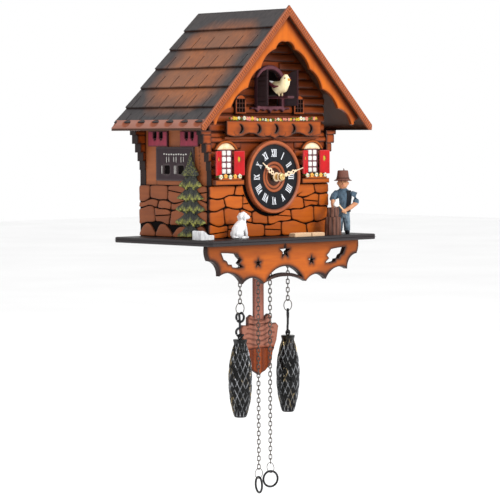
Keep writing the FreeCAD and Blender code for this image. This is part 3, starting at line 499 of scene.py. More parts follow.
def board(pile, loops, front, back, axis=1, spacing=1.6, reach=2.6, strength=0.85, soften=0.35,
          carve=None, **values):
    """A sawn board with softened, scorched edges; carve(flat points) gives depth and burn.

    The other values are painted on its points, and may be functions of the flat points.
    """
    loops = [respaced(loop, spacing) for loop in loops]
    outline, edges = [], []
    for loop in loops:
        first = len(outline)
        outline += [Vector(p) for p in loop]
        edges += [(first + i, first + (i + 1) % len(loop)) for i in range(len(loop))]
    inner = []
    for loop in loops:
        along = np.roll(loop, -1, axis=0) - np.roll(loop, 1, axis=0)
        normal = np.stack([along[:, 1], -along[:, 0]], 1) / np.linalg.norm(along, axis=1)[:, None]
        inner += [loop + 0.7 * normal, loop - 0.7 * normal]
    low, high = np.min([l.min(0) for l in loops], 0), np.max([l.max(0) for l in loops], 0)
    columns, rows = (np.arange(low[k] + spacing / 2, high[k], spacing) for k in (0, 1))
    lattice = np.stack(np.meshgrid(columns, rows), -1).reshape(-1, 2)
    lattice += np.where(np.arange(len(lattice)) // len(columns) % 2, 0.25, -0.25)[:, None] * (spacing, 0)
    near = np.concatenate(inner)
    near = near[inside(near, loops) & (gap(near, loops) > 0.6)]
    far = lattice[inside(lattice, loops)]
    far = far[gap(far, loops) > 0.7 + 0.4 * spacing]
    flat = [Vector(p) for p in np.concatenate([near, far])]
    points, _, faces, *_ = delaunay_2d_cdt(outline + flat, edges, [], 0, 1e-5)
    points = np.array([tuple(p) for p in points])
    faces = np.array([tuple(f) for f in faces])
    faces = faces[inside(points[faces].mean(1), loops)]
    distance = gap(points, loops)
    away = 1 if back > front else -1
    depth, burn = np.zeros(len(points)), strength * np.clip(1 - distance / reach, 0, 1) ** 1.5
    if carve:
        depth, extra = carve(points)
        burn = np.clip(burn + extra, 0, 1)
    depth = depth + np.where(distance < 0.01, soften, 0)
    size = len(points)
    used = {}
    for a, b, c in faces:
        for pair in ((a, b), (b, c), (c, a)):
            used[pair] = True
    rim = [(a, b) for a, b in used if (b, a) not in used]
    both = np.concatenate([lay(axis, points, front + away * depth), lay(axis, points, back)])
    flip = (away > 0) != (axis == 1)
    top = [tuple(f[::-1]) if flip else tuple(f) for f in faces]
    under = [tuple(size + i for i in f[::-1]) for f in top]
    sides = [(b, a, a + size, b + size) if not flip else (a, b, b + size, a + size) for a, b in rim]
    given = {name: np.tile(value(points), 2) if callable(value) else value for name, value in values.items()}
    pile.add(both, top + under + sides, burn=np.concatenate([burn, np.where(distance < 0.01, burn, 0)]),
             **given)


def rectangle(x0, x1, z0, z1, corner=0.0):
    """A rectangle's outline, with rounded corners if a radius is given."""
    if not corner:
        return np.array([(x0, z0), (x1, z0), (x1, z1), (x0, z1)], float)
    points = []
    for cx, cz, start in ((x1 - corner, z0 + corner, -90), (x1 - corner, z1 - corner, 0),
                          (x0 + corner, z1 - corner, 90), (x0 + corner, z0 + corner, 180)):
        for step in range(7):
            angle = math.radians(start + 15 * step)
            points.append((cx + corner * math.cos(angle), cz + corner * math.sin(angle)))
    return np.array(points)


def oval(count, wide, tall, middle=(0, 0)):
    angles = np.linspace(0, 2 * math.pi, count, endpoint=False)
    return np.stack([middle[0] + wide * np.cos(angles), middle[1] + tall * np.sin(angles)], 1)


def rounded(loop):
    """Corners cut away twice over, so an outline becomes round."""
    loop = np.asarray(loop, float)
    for _ in range(2):
        after = np.roll(loop, -1, axis=0)
        loop = np.stack([0.78 * loop + 0.22 * after, 0.22 * loop + 0.78 * after], 1).reshape(-1, 2)
    return loop


def pillow(pile, loop, base, rise, axis=1, away=-1, tint=0.0, rim=0.95, keep_out=None):
    """A carved stone or block: its outline rises from base and rounds over to a gentle crown."""
    loop = respaced(loop, 1.5)
    if keep_out:
        middle, radius = keep_out
        offset = loop - middle
        length = np.linalg.norm(offset, axis=1)[:, None]
        loop = np.where(length < radius, middle + offset / np.maximum(length, 1e-6) * radius, loop)
    centre = loop.mean(0)
    span = np.abs(loop - centre).max()
    steps = ((0.0, 0.0, rim), (0.12, 0.55, rim * 0.9), (0.5, 0.86, rim * 0.4), (1.3, 0.98, 0.1),
             (3.2, 1.0, 0.0))
    rings, burns = [], []
    for inset, height, burn in steps:
        share = max(0.12, 1 - inset / span)
        ring = centre + (loop - centre) * share
        rings.append(lay(axis, ring, base + away * rise * height))
        burns.append(np.full(len(loop), burn))
    points = np.concatenate(rings + [lay(axis, centre[None], base + away * rise)])
    faces = grid_faces(len(rings), len(loop))
    last = (len(rings) - 1) * len(loop)
    faces += [(last + i, last + (i + 1) % len(loop), len(points) - 1) for i in range(len(loop))]
    pile.add(points, faces, burn=np.concatenate(burns + [np.zeros(1)]), tint=tint)


# --- house walls ----------------------------------------------------------------------------

rng = random.Random(12)
DIAL = np.array([0.0, 59.5])
GABLE_TOP, GABLE_LINE = 206.0, 208.0
STONE_TOP = edge("masonry_front", 1, 2)
PLATE_TOP = edge("base_plate", 1, 2)
FRONT = edge("front_wall", 0, 1)
WALL_X = edge("right_wall", 1, 0)


def course_line(level, x, wander):
    """The height of the joint over a course: it wanders a little along the wall."""
    return level + wander * (math.sin(0.115 * x + 2.1 * level) + 0.5 * math.sin(0.29 * x + level))


def stone_rows(low, high, bottom, tops, widths, wander=1.7, humps=False):
    """Irregular courses of stones between two ends; yields each stone's outline.

    With humps the stones of the lowest course are half-round.
    """
    half_joint = 0.36
    levels = [bottom] + tops
    for course in range(len(tops)):
        def height(x, share):
            ends = []
            for k in (course, course + 1):
                loose = 0 if k in (0, len(tops)) else wander
                ends.append(course_line(levels[k], x, loose) + (half_joint if k == course else -half_joint))
            return ends[0] + (ends[1] - ends[0]) * share

        x, lean = low, 0.0
        while x < high - 0.5:
            width = rng.uniform(*widths)
            last = high - x - width < widths[0] * 0.8
            end = high if last else x + width
            next_lean = 0.0 if last else rng.uniform(-3.0, 3.0)
            left = [(x + half_joint + lean * (s - 0.5), s) for s in (0.04, 0.35, 0.65, 0.96)]
            right = [(end - half_joint + next_lean * (s - 0.5), s) for s in (0.96, 0.65, 0.35, 0.04)]
            top = [(x + (end - x) * s, 1) for s in (0.25, 0.5, 0.75)]
            foot = [(x + (end - x) * s, 0) for s in (0.75, 0.5, 0.25)]
            spots = [(u + rng.uniform(-0.4, 0.4), s) for u, s in left + top + right + foot]
            if humps and course == 0:
                reach = 0.5 * (end - x)
                spots = [(u, s * math.sqrt(max(0.05, 1 - ((u - x - reach) / reach) ** 2))) for u, s in spots]
            loop = [(u, height(u, s)) for u, s in spots]
            kind = rng.random()
            slope = rng.uniform(-0.14, 0.14)
            split = levels[course] + (levels[course + 1] - levels[course]) * rng.uniform(0.38, 0.6)
            if kind < 0.3 and levels[course + 1] - levels[course] > 11 and not (humps and course == 0):
                line = [split + slope * (u - (x + end) / 2) for u, _ in loop]
                yield rounded([(u, min(v, at - half_joint)) for (u, v), at in zip(loop, line)])
                yield rounded([(u, max(v, at + half_joint)) for (u, v), at in zip(loop, line)])
            else:
                yield rounded(loop)
            x, lean = end, next_lean


def front_masonry():
    """The front's stones over dark joints; the stones are cut back round the dial, so the black backing shows
    there as a painted shadow ring.
    """
    masonry = Pile()
    backing = Pile()
    stone_back = edge("masonry_front", 1, 1)
    corner = edge("masonry_sides", 1, 0) - 0.2
    board(backing, [rectangle(-corner, corner, PLATE_TOP, STONE_TOP)], stone_back - 1.6, stone_back,
          spacing=9, strength=0)
    for outline in stone_rows(-corner, corner, PLATE_TOP, [17.5, 30.5, 42.0, STONE_TOP], (12, 34)):
        # Stones near the dial are dropped or cut back to radius 36.2, baring the black backing: a painted
        # shadow ring round the dial.
        if np.linalg.norm(outline.mean(0) - DIAL) > 29:
            pillow(masonry, outline, stone_back - 1.4, 1.9, tint=rng.random(), keep_out=(DIAL, 36.2))
    masonry.piece("front_stones", "stone", stands_for="masonry_front", smooth=True)
    backing.piece("front_joints_and_dial_shadow", "soot", node="masonry_front")


def side_masonry():
    """The sides' stones; their lowest course is a row of half-round ones."""
    side_stones = Pile()
    side_joints = Pile()
    side_low, side_high = edge("masonry_sides", 0, 1), -0.4
    for side in (-1, 1):
        board(side_joints, [rectangle(side_low, side_high, PLATE_TOP, STONE_TOP)], side * (WALL_X + 1.5),
              side * WALL_X, axis=0, spacing=9, strength=0)
        for outline in stone_rows(side_low, side_high, PLATE_TOP, [17.0, 31.5, 38.0, STONE_TOP], (17, 31),
                                  humps=True):
            pillow(side_stones, outline, side * (WALL_X + 1.3), 1.9, axis=0, away=side, tint=rng.random(),
                   rim=0.8)
    side_stones.piece("side_stones", "side_stone", stands_for="masonry_sides", smooth=True)
    side_joints.piece("side_joints", "soot", node="masonry_sides")


def log(pile, x0, x1, z0, z1, front, back, tint, ends=0.5, roof_shade=0.0):
    """One half-round wall log with a dark groove above and below it; painted shade from the roof darkens it
    all over.
    """
    profile = [(back, z0), (front + 1.3, z0 + 0.25), (front + 0.45, z0 + 0.9), (front, z0 + 2.2),
               (front - 0.15, (z0 + z1) / 2), (front, z1 - 2.0), (front + 0.5, z1 - 0.9),
               (front + 1.3, z1 - 0.25), (back, z1)]
    burns = [1, 1, 0.85, 0.25, 0, 0.1, 0.7, 1, 1]
    count = max(3, int((x1 - x0) / 3))
    rings, burn = [], []
    for i in range(count + 1):
        x = x0 + (x1 - x0) * i / count
        bump = 0.12 * math.sin(x * 0.7 + z0) + 0.08 * math.sin(x * 1.9 + 2 * z0)
        near_end = ends if i in (0, count) else 0
        rings.append([(x, y + (bump if 0 < k < 8 else 0) + near_end * (0 < k < 8), z)
                      for k, (y, z) in enumerate(profile)])
        burn += [max(b, roof_shade, 0.6 * (i in (0, count))) for b in burns]
    points, faces = loft(rings)
    pile.add(points, faces, burn=burn + [0.5, 0.5], tint=tint)


def front_log_wall():
    """Logs up to the gable, with gaps for the doorway, the windows and the dial."""
    walls = Pile()
    wall_back = edge("front_wall", 1, 1)
    door_half = 15.0
    course = 8.0
    z = STONE_TOP
    while z < GABLE_TOP - 3:
        top = min(z + course, GABLE_TOP)
        limit = min(WALL_X, GABLE_LINE - top - 1)
        # A random tone per course, plus painted shade that deepens above z 150 under the roof; logs above z
        # 100 are also darkened all over, up to 0.62, as painted roof shade.
        dark = rng.uniform(0, 0.7) + max(0, (z - 150) / 60)
        doorway = z < edge("bird_door_frame", 1, 2) - 3 and top > edge("bird_door_frame", 0, 2) + 8
        spans = [(-limit, -door_half), (door_half, limit)] if doorway else [(-limit, limit)]
        if z < 92 and not doorway:
            spans = [(-limit, -limit + 9), (-limit + 9.3, -34.0), (34.0, limit - 9.3), (limit - 9, limit)]
            if z < 60:
                spans = [spans[0], spans[3]]
        for x0, x1 in spans:
            if x1 - x0 > 2:
                stagger = rng.uniform(-0.5, 0.5)
                log(walls, x0, x1, z, top, FRONT - 0.2 + stagger * 0.5, wall_back,
                    min(1, dark + rng.uniform(0, 0.3)), roof_shade=min(0.62, max(0, (z - 100) / 60)))
        z = top
    board(walls, face_loops("front_wall", 1, 0), FRONT + 1.4, wall_back, spacing=8, strength=1, tint=1)
    log(walls, -WALL_X - 0.5, WALL_X + 0.5, 90.5, 96.5, FRONT - 2.2, wall_back, 0.1)
    walls.piece("front_logs", "log", stands_for="front_wall", smooth=True)


PLANK_SEAMS = (-80.5, -22.5)


def plank_seams(points):
    """Two upright seams in the side walls."""
    near = np.min([abs(points[:, 0] - seam) for seam in PLANK_SEAMS], axis=0)
    hit = np.clip(1 - near / 0.9, 0, 1)
    return 0.5 * hit, 0.7 * hit


def side_plank_walls():
    """The two plain side walls."""
    planks = Pile()
    for side, node in ((-1, "left_wall"), (1, "right_wall")):
        outlines = face_loops(node, 0, side > 0)
        board(planks, outlines, side * WALL_X, side * (WALL_X - 5), axis=0, spacing=1.8, reach=4,
              strength=0.5, carve=plank_seams, tint=0.2)
    planks.piece("side_planks", "side_log", stands_for=("left_wall", "right_wall"))


# --- roof -----------------------------------------------------------------------------------

ROOF_TOP = edge("roof_left", 1, 2)
EAVE_X, EAVE_FOOT = edge("roof_right", 1, 0), edge("roof_right", 0, 2)
ROOF_BACK, ROOF_FRONT = edge("roof_right", 1, 1), edge("roof_right", 0, 1)
COURSES = 6
SLOPE = EAVE_X * math.sqrt(2)
LIFT = 2.1
JOINT_PITCH = 19.2
FASCIA = 6.0


def on_slope(side, down, depth, above):
    """A point on one roof slope: down the slope, along the ridge, and above the roof board."""
    x = (down + above) / math.sqrt(2)
    z = ROOF_TOP - LIFT * math.sqrt(2) - (down - above) / math.sqrt(2)
    return (side * x, depth, z)


def spray(down, depth):
    """How dark the sprayed stain is at a place on the roof."""
    from_ridge, from_eave = down / 38, (SLOPE - down) / 42
    from_front, from_back = (depth - ROOF_FRONT) / 34, (ROOF_BACK - depth) / 32
    worst = [max(0.0, 1 - d) ** 1.3 for d in (from_ridge, from_eave, from_front, from_back)]
    return min(1.0, 1.45 * sum(worst))


def shingle_course(pile, side, number):
    """One board of the roof, with joints scribed up from its lower edge. Its top, at the foot of the step
    from the course above, and its lower edge and butt are darkened as painted shadow of the step.
    """
    length = SLOPE / COURSES
    top, low = length * number, length * (number + 1)
    if number == COURSES - 1:
        low -= FASCIA
    shift = (number % 2) * 0.5 + 0.22 * number
    joints = [ROOF_FRONT + JOINT_PITCH * (k + shift % 1) for k in range(7)]
    if number == 0:
        joints = []
    stops = {ROOF_FRONT, ROOF_BACK}
    for joint in joints:
        if ROOF_FRONT + 3 < joint < ROOF_BACK - 3:
            stops.update(joint + d for d in (-0.85, -0.42, 0.42, 0.85))
    depths = sorted(stops)
    filled = []
    for a, b in zip(depths, depths[1:]):
        filled += [a + (b - a) * k / max(1, round((b - a) / 3)) for k in range(max(1, round((b - a) / 3)))]
    filled.append(ROOF_BACK)
    shares = [0, 0.12, 0.24, 0.36, 0.38, 0.5, 0.62, 0.74, 0.86, 0.94, 0.985, 1.0]
    rings, burns, sprays, tints = [], [], [], []
    boards = [rng.random() for _ in range(9)]
    for share in shares:
        row = []
        for depth in filled:
            near = min([abs(depth - j) for j in joints], default=99)
            scored = near < 0.5 and share > 0.37 and ROOF_FRONT + 3 < depth < ROOF_BACK - 3
            wave = 0.18 * math.sin(depth * 0.19 + number * 2.1 + side) * share
            height = 0.25 + (LIFT - 0.35) * share + wave - 0.75 * scored
            if share == 1.0:
                height -= 0.5
            row.append(on_slope(side, top + (low - top) * share, depth, min(height, LIFT)))
            # Scribed joints are dark; the course's top and lower edge are darkened as painted shadow of the
            # step.
            burns.append(1.0 if scored else (0.55 if share >= 0.985 else max(0, 0.5 - share * 9)))
            sprays.append(max(0.02, spray(top + (low - top) * share, depth)))
            tints.append(boards[sum(1 for j in joints if j < depth) % 9])
        rings.append(row)
    butt = [on_slope(side, low - 0.1, depth, -0.1) for depth in filled]
    rings.append(butt)
    # The butt under each step: painted shadow.
    burns += [0.9] * len(filled)
    sprays += [0.02] * len(filled)
    tints += [0] * len(filled)
    points = np.concatenate([np.asarray(r, float) for r in rings])
    faces = grid_faces(len(rings), len(filled), closed=False)
    if side > 0:
        faces = [f[::-1] for f in faces]
    pile.add(points, faces, burn=burns, spray=sprays, tint=tints)


def eave_board(pile, side):
    """The rounded board along the eave, with a row of scooped notches under the shingles."""
    columns, rows = 190, 20
    foot, shoulder = EAVE_FOOT, 107.0
    head = shoulder + FASCIA / math.sqrt(2) + 0.4
    pitch, notch_middle, notch_rise, notch_half = 19.4, 108.4, 3.3, 5.6
    face, burn = [], []
    for r in range(rows + 1):
        z = foot + (head - foot) * r / rows
        half = notch_half * math.sqrt(max(0.0, 1 - ((z - notch_middle) / notch_rise) ** 2))
        lean = max(0.0, z - shoulder) + 1.4 * max(0.0, 1 - abs(z - shoulder) / 2.5) ** 2 * 0.4
        foot_round = 1.1 * max(0.0, 1 - (z - foot) / 1.8) ** 2
        line = []
        for c in range(columns + 1):
            y = ROOF_FRONT + (ROOF_BACK - ROOF_FRONT) * c / columns
            offset = ((y - ROOF_FRONT + 4) % pitch) - pitch / 2
            scoop = math.sqrt(max(0.0, 1 - (offset / half) ** 2)) if half > 0.3 else 0.0
            cut = 1.9 * scoop * half / notch_half
            line.append((side * (EAVE_X - cut - lean - foot_round), y, z))
            burn.append(0.8 * min(1.0, 2.2 * scoop) if scoop > 0.05 else 0.0)
        face.append(line)
    inner = [[(side * (EAVE_X - 6.5), y, z) for _, y, _ in face[0]] for z in (head, foot)]
    rings = [inner[1]] + face + [inner[0]]
    faces = grid_faces(len(rings), columns + 1, closed=False)
    if side < 0:
        faces = [f[::-1] for f in faces]
    plain = [0] * (columns + 1)
    pile.add(np.concatenate([np.asarray(r, float) for r in rings]), faces, burn=plain + burn + plain,
             tint=0.2)


def roof_slopes():
    """Each slope: its shingle courses over the roof board, and the rounded board at the eave."""
    for side, node in ((-1, "roof_left"), (1, "roof_right")):
        name = "left" if side < 0 else "right"
        shingles = Pile()
        for number in range(COURSES):
            shingle_course(shingles, side, number)
        deck = face_loops(node, 1, 0)
        deck = [np.array([(x, min(z, ROOF_TOP - abs(x) - LIFT * math.sqrt(2))) for x, z in loop])
                for loop in deck]
        # Reach 400 darkens the roof board nearly all over: painted shade for its underside under the eaves.
        board(shingles, deck, ROOF_FRONT, ROOF_BACK, spacing=6, reach=400, strength=0.8, soften=0, spray=0.0,
              tint=0.9)
        shingles.piece(f"{name}_roof_courses", "roof", stands_for=node)
        fascia = Pile()
        eave_board(fascia, side)
        fascia.piece(f"{name}_eave_board", "eave", node=node, smooth=True)


def trim_ribs(points):
    """Fine lines cut across the sloping trim, and a groove along its middle."""
    x, z = abs(points[:, 0]), points[:, 1]
    along = (x - z) / math.sqrt(2)
    across = (ROOF_TOP - x - z) / math.sqrt(2)
    rib = 0.5 + 0.5 * np.cos(2 * math.pi * along / 2.5)
    cut = np.clip(1.6 - 3.2 * rib, 0, 1) * (across > 0.9) * (across < 4.4)
    groove = np.clip(1 - abs(across - 5.1) / 0.5, 0, 1)
    return 0.35 * cut + 0.5 * groove, 0.6 * cut + 0.8 * groove


def barge_shade(points):
    """The bargeboard's upper edge lies in the recess under the trim and is darkened red-brown there as
    painted shade.
    """
    across = (edge("bargeboard", 1, 2) - abs(points[:, 0]) - points[:, 1]) / math.sqrt(2)
    return np.zeros(len(points)), 0.95 * np.clip(1.5 - across / 5.5, 0, 1)


def gable_edges():
    """The ribbed trim and the scalloped bargeboard under it."""
    sawn("rake_trim", "trim", "roof_edge_trim", spacing=0.62, reach=0.8, strength=0.5, soften=0.3,
         carve=trim_ribs)
    sawn("bargeboard_fret", "barge", "bargeboard", smooth=True, reach=1.3, strength=0.75, carve=barge_shade)


STEP_LINES = (66, 74, 82, 90, 98)


def step_lines(points):
    """A dark groove between each step and the next."""
    near = np.min([abs(points[:, 1] - z) for z in STEP_LINES], axis=0)
    hit = np.clip(1 - near / 0.8, 0, 1)
    return 0.6 * hit, hit


def corner_log_ends():
    """The stepped log ends under the four eave corners."""
    ends = Pile()
    for front, back in ((-97, -91), (-8, 0)):
        board(ends, face_loops("eave_log_ends", 1, 0, level=front), front, back, spacing=1.0, reach=3.2,
              strength=1.0, carve=step_lines, tint=0.4)
    ends.piece("corner_log_ends", "log", stands_for="eave_log_ends", smooth=True)


# --- fretwork, base and balcony -------------------------------------------------------------

def sawn(name, look, node, body="case", axis=1, smooth=False, **settings):
    """A board cut to a CAD node's own outline and thickness."""
    pile = Pile()
    front, back = edge(node, 0, axis), edge(node, 1, axis)
    board(pile, face_loops(node, axis, 0), front, back, axis=axis, **settings)
    return pile.piece(name, look, body, stands_for=node, smooth=smooth)


def patches(spots, reach, strength=0.75):
    """Soft sprayed patches around a few places on a board."""
    def carve(points):
        burn = np.zeros(len(points))
        for spot in spots:
            near = np.clip(1 - np.linalg.norm((points - spot) / reach, axis=1), 0, 1)
            burn = np.maximum(burn, strength * near)
        return np.zeros(len(points)), burn
    return carve


WING = ((52.6, -20.3), (57.5, -16.8), (54.5, -13.8), (57.7, -11.2), (60, -8.4), (69, -7.4), (79, -6.9),
        (76, -12.8), (72.5, -14.2), (70.5, -17.2), (66.5, -17.6), (65.4, -19.9), (59, -21))


def fretwork_bracket():
    """The board under the base, with stars and ragged wing-shaped openings."""
    loops = []
    for loop in face_loops("front_bracket", 1, 0):
        side, pierced = np.sign(loop[:, 0].mean()), np.ptp(loop[:, 0])
        wing = 20 < pierced < 40 and abs(loop[:, 0].mean()) > 50
        loops.append(np.array([(side * x, z) for x, z in WING]) if wing else loop)
    bracket = Pile()
    board(bracket, loops, edge("front_bracket", 0, 1), edge("front_bracket", 1, 1), reach=4.5, strength=1.0,
          spacing=1.3, carve=patches([(-88, -18), (88, -18), (-53, -34), (53, -34), (0, -30)], (20, 13)))
    bracket.piece("bracket_fret", "fret", stands_for="front_bracket")


def base_board():
    """The base plate: two layers with a fine groove between them."""
    plate = Pile()
    plate_loops = face_loops("base_plate", 2, 1)
    board(plate, plate_loops, PLATE_TOP, PLATE_TOP - 2.2, axis=2, spacing=4, reach=1.6, strength=0.7,
          soften=0.6)
    board(plate, plate_loops, 0, PLATE_TOP - 2.6, axis=2, spacing=4, reach=1.6, strength=0.7, soften=0.6)
    plate_loops.sort(key=lambda loop: -np.ptp(loop[:, 0]))
    inset_loops = [rectangle(-105.3, 105.3, -130.3, -0.3)] + plate_loops[1:]
    board(plate, inset_loops, PLATE_TOP - 2.1, PLATE_TOP - 2.7, axis=2, spacing=8, strength=0)
    plate.piece("base_board", "black", stands_for="base_plate")


BALCONY_HALF, BALCONY_TOP = edge("balcony_board", 1, 0), edge("balcony_board", 1, 2)
CRESCENTS = (-44, -22, 0, 22, 44)
SCROLLS = ((-27, 97.8, 5.5), (-9, 97.5, 4.5), (9, 97.5, 4.5), (27, 97.8, 5.5), (-47, 98.5, 4), (47, 98.5, 4))


def balcony_carving(points):
    """Sprayed patches between the crescents and cut scrolls near the middle of the foot."""
    _, burn = patches([(x + 3, 102) for x in CRESCENTS], (10, 8), 0.75)(points)
    depth = np.zeros(len(points))
    for x, z, r in SCROLLS:
        away = np.linalg.norm(points - (x, z + 3), axis=1)
        groove = np.clip(1 - abs(away - r) / 0.7, 0, 1) * (points[:, 1] < z + 2.6)
        depth += 0.5 * groove
        burn = np.maximum(burn, 0.9 * groove)
    return depth, burn


def balcony_board():
    """The carved balcony front and its shelf."""
    balcony = Pile()
    front = edge("balcony_board", 0, 1)
    board(balcony, face_loops("balcony_board", 1, 0), front, front + 3, spacing=1.0, reach=1.4,
          strength=0.95, carve=balcony_carving)
    board(balcony, [rectangle(-BALCONY_HALF, BALCONY_HALF, front + 3, FRONT)], 94, 96, axis=2,
          spacing=5, strength=0.6)
    balcony.piece("balcony_fret", "balcony", stands_for="balcony_board", smooth=True)


# --- windows, shutters and flowers ----------------------------------------------------------

WINDOW_FOOT, STEM_TOP = 62.3, 84.4
WINDOW_FACE = edge("arched_windows", 0, 1)
WINDOW_X = edge("arched_windows", 1, 0) - 14.4
GABLE_X, GABLE_HALF, GABLE_FOOT = 37.0, 6.5, 117.0


def arch(centre, half, foot, rise, count=16):
    """A half-moon: a flat foot and a round top."""
    radius = (half * half + rise * rise) / (2 * rise)
    low = math.asin(min(1.0, (radius - rise) / radius))
    angles = np.linspace(low, math.pi - low, count)
    return np.stack([centre + radius * np.cos(angles), foot + rise - radius + radius * np.sin(angles)], 1)


def front_windows():
    """Two arched windows and the two small lattices in the gable."""
    panels, panes, arches, tympana, dark_panes, lattices = (Pile() for _ in range(6))
    for side in (-1, 1):
        x = side * WINDOW_X
        board(panels, [rectangle(x - 7.6, x + 7.6, WINDOW_FOOT, STEM_TOP + 1)], WINDOW_FACE + 0.9, FRONT,
              spacing=1.5, reach=1.4, strength=0.6)
        for column in (-1, 1):
            for row in range(4):
                low = WINDOW_FOOT + 0.6 + 5.5 * row
                shape = rectangle(x + column * 3.0 - 2.4, x + column * 3.0 + 2.4, low, low + 4.5, 0.9)
                pillow(panes, shape, WINDOW_FACE + 1.0, 0.8, rim=0.5)
        ring = np.concatenate([arch(x, 14.4, STEM_TOP, 8.8), arch(x, 11.4, STEM_TOP, 6.3)[::-1]])
        board(arches, [ring], WINDOW_FACE, FRONT, spacing=1.2, reach=1.2, strength=0.8, soften=0.6)
        board(tympana, [arch(x, 11.6, STEM_TOP, 6.4)], WINDOW_FACE + 0.9, FRONT, spacing=1.2, reach=3.4,
              strength=0.7)
    for side in (-1, 1):
        x = side * GABLE_X
        outline = np.concatenate([[(x - GABLE_HALF, GABLE_FOOT), (x + GABLE_HALF, GABLE_FOOT)],
                                  arch(x, GABLE_HALF, GABLE_FOOT + 10.5, 6.4)])
        holes = [rectangle(x + a, x + a + 2.7, z, z + 3.3) for a in (-4.9, -1.35, 2.2)
                 for z in (GABLE_FOOT + 1.6, GABLE_FOOT + 5.8, GABLE_FOOT + 10)]
        board(lattices, [outline] + holes, FRONT - 3.4, FRONT - 1.4, spacing=0.8, reach=0.9, strength=0.9,
              soften=0.3)
        board(dark_panes, [outline], FRONT - 1.6, FRONT, spacing=3, strength=0)
    panels.piece("window_frames", "mauve", node="arched_windows")
    panes.piece("window_panes", "white", stands_for="arched_windows", smooth=True)
    arches.piece("window_arches", "fret", node="arched_windows")
    tympana.piece("window_tympana", "cream", node="arched_windows")
    lattices.piece("gable_lattices", "log", node="arched_windows")
    dark_panes.piece("gable_panes", "soot", node="arched_windows")


def turned(pile, start, angle, move):
    """Turns what was added from a given block onward about z, then moves it."""
    spin = np.array(Matrix.Rotation(angle, 3, "Z"))
    for i in range(start, len(pile.points)):
        pile.points[i] = pile.points[i] @ spin.T + np.asarray(move, float)


SHUTTER_WIDTH, SHUTTER_SPLAY = 10.4, math.radians(22)
SHUTTER_FOOT, SHUTTER_TOP = edge("front_shutters", 0, 2), edge("front_shutters", 1, 2)


def front_shutters():
    """Four red shutters, standing half open, each with a small oval."""
    shutters, hearts = Pile(), Pile()
    for side in (-1, 1):
        for hand in (-1, 1):
            ends = sorted((0.2 * hand, SHUTTER_WIDTH * hand))
            middle = hand * SHUTTER_WIDTH / 2
            leaf = rectangle(*ends, SHUTTER_FOOT, SHUTTER_TOP, 0.5)
            leaf[:, 0] -= 0.35 * np.sign(leaf[:, 0] - middle) * np.cos((leaf[:, 1] - 72.5) / 11 * math.pi / 2)
            angles = np.linspace(0, 2 * math.pi, 14, endpoint=False)
            heart = np.stack([middle + 1.5 * np.cos(angles),
                              76 + 2.6 * np.sin(angles) * (1 - 0.25 * np.cos(angles))], 1)
            hinge = (side * WINDOW_X + hand * 7.9, WINDOW_FACE - 0.3, 0)
            start, under = len(shutters.points), len(hearts.points)
            board(shutters, [leaf, heart], -1.4, 0, spacing=1.0, reach=0.8, strength=0.5, soften=0.3)
            board(hearts, [1.05 * (heart - (middle, 76)) + (middle, 76)], -0.6, -0.1, spacing=1, strength=0.3)
            turned(shutters, start, -hand * SHUTTER_SPLAY, hinge)
            turned(hearts, under, -hand * SHUTTER_SPLAY, hinge)
    shutters.piece("red_shutters", "red", stands_for="front_shutters")
    hearts.piece("shutter_ovals", "petal_yellow", node="front_shutters")


leaves = Pile()
blooms = {name: Pile() for name in ("petal_white", "petal_yellow", "petal_pink", "petal_orange")}


def bud(pile, centre, radius, squash=1.0):
    """A small rounded lump."""
    rings = []
    for i in range(6):
        tilt = math.pi * (i + 0.15) / 5.3 - math.pi / 2
        middle = np.asarray(centre) + (0, 0, squash * radius * math.sin(tilt))
        rings.append(circle(middle, (1, 0, 0), (0, 1, 0), radius * math.cos(tilt), count=9))
    pile.add(*loft(rings))


def blossom(colour, centre, radius):
    """Five petals round a raised middle, turned to face the front."""
    turn = rng.uniform(0, 1)
    for petal in range(5):
        angle = turn + 2 * math.pi * petal / 5
        spot = np.asarray(centre) + (0.62 * radius * math.cos(angle), 0.1, 0.62 * radius * math.sin(angle))
        bud(blooms[colour], spot, 0.52 * radius)
    heart = "petal_yellow" if colour != "petal_yellow" else "petal_orange"
    bud(blooms[heart], np.asarray(centre) + (0, -0.35 * radius, 0), 0.34 * radius)


def leaf_clump(centre, radius, count):
    for _ in range(count):
        spot = np.asarray(centre) + [rng.uniform(-1, 1) * r for r in radius]
        bud(leaves, spot, rng.uniform(0.5, 0.85), 0.7)


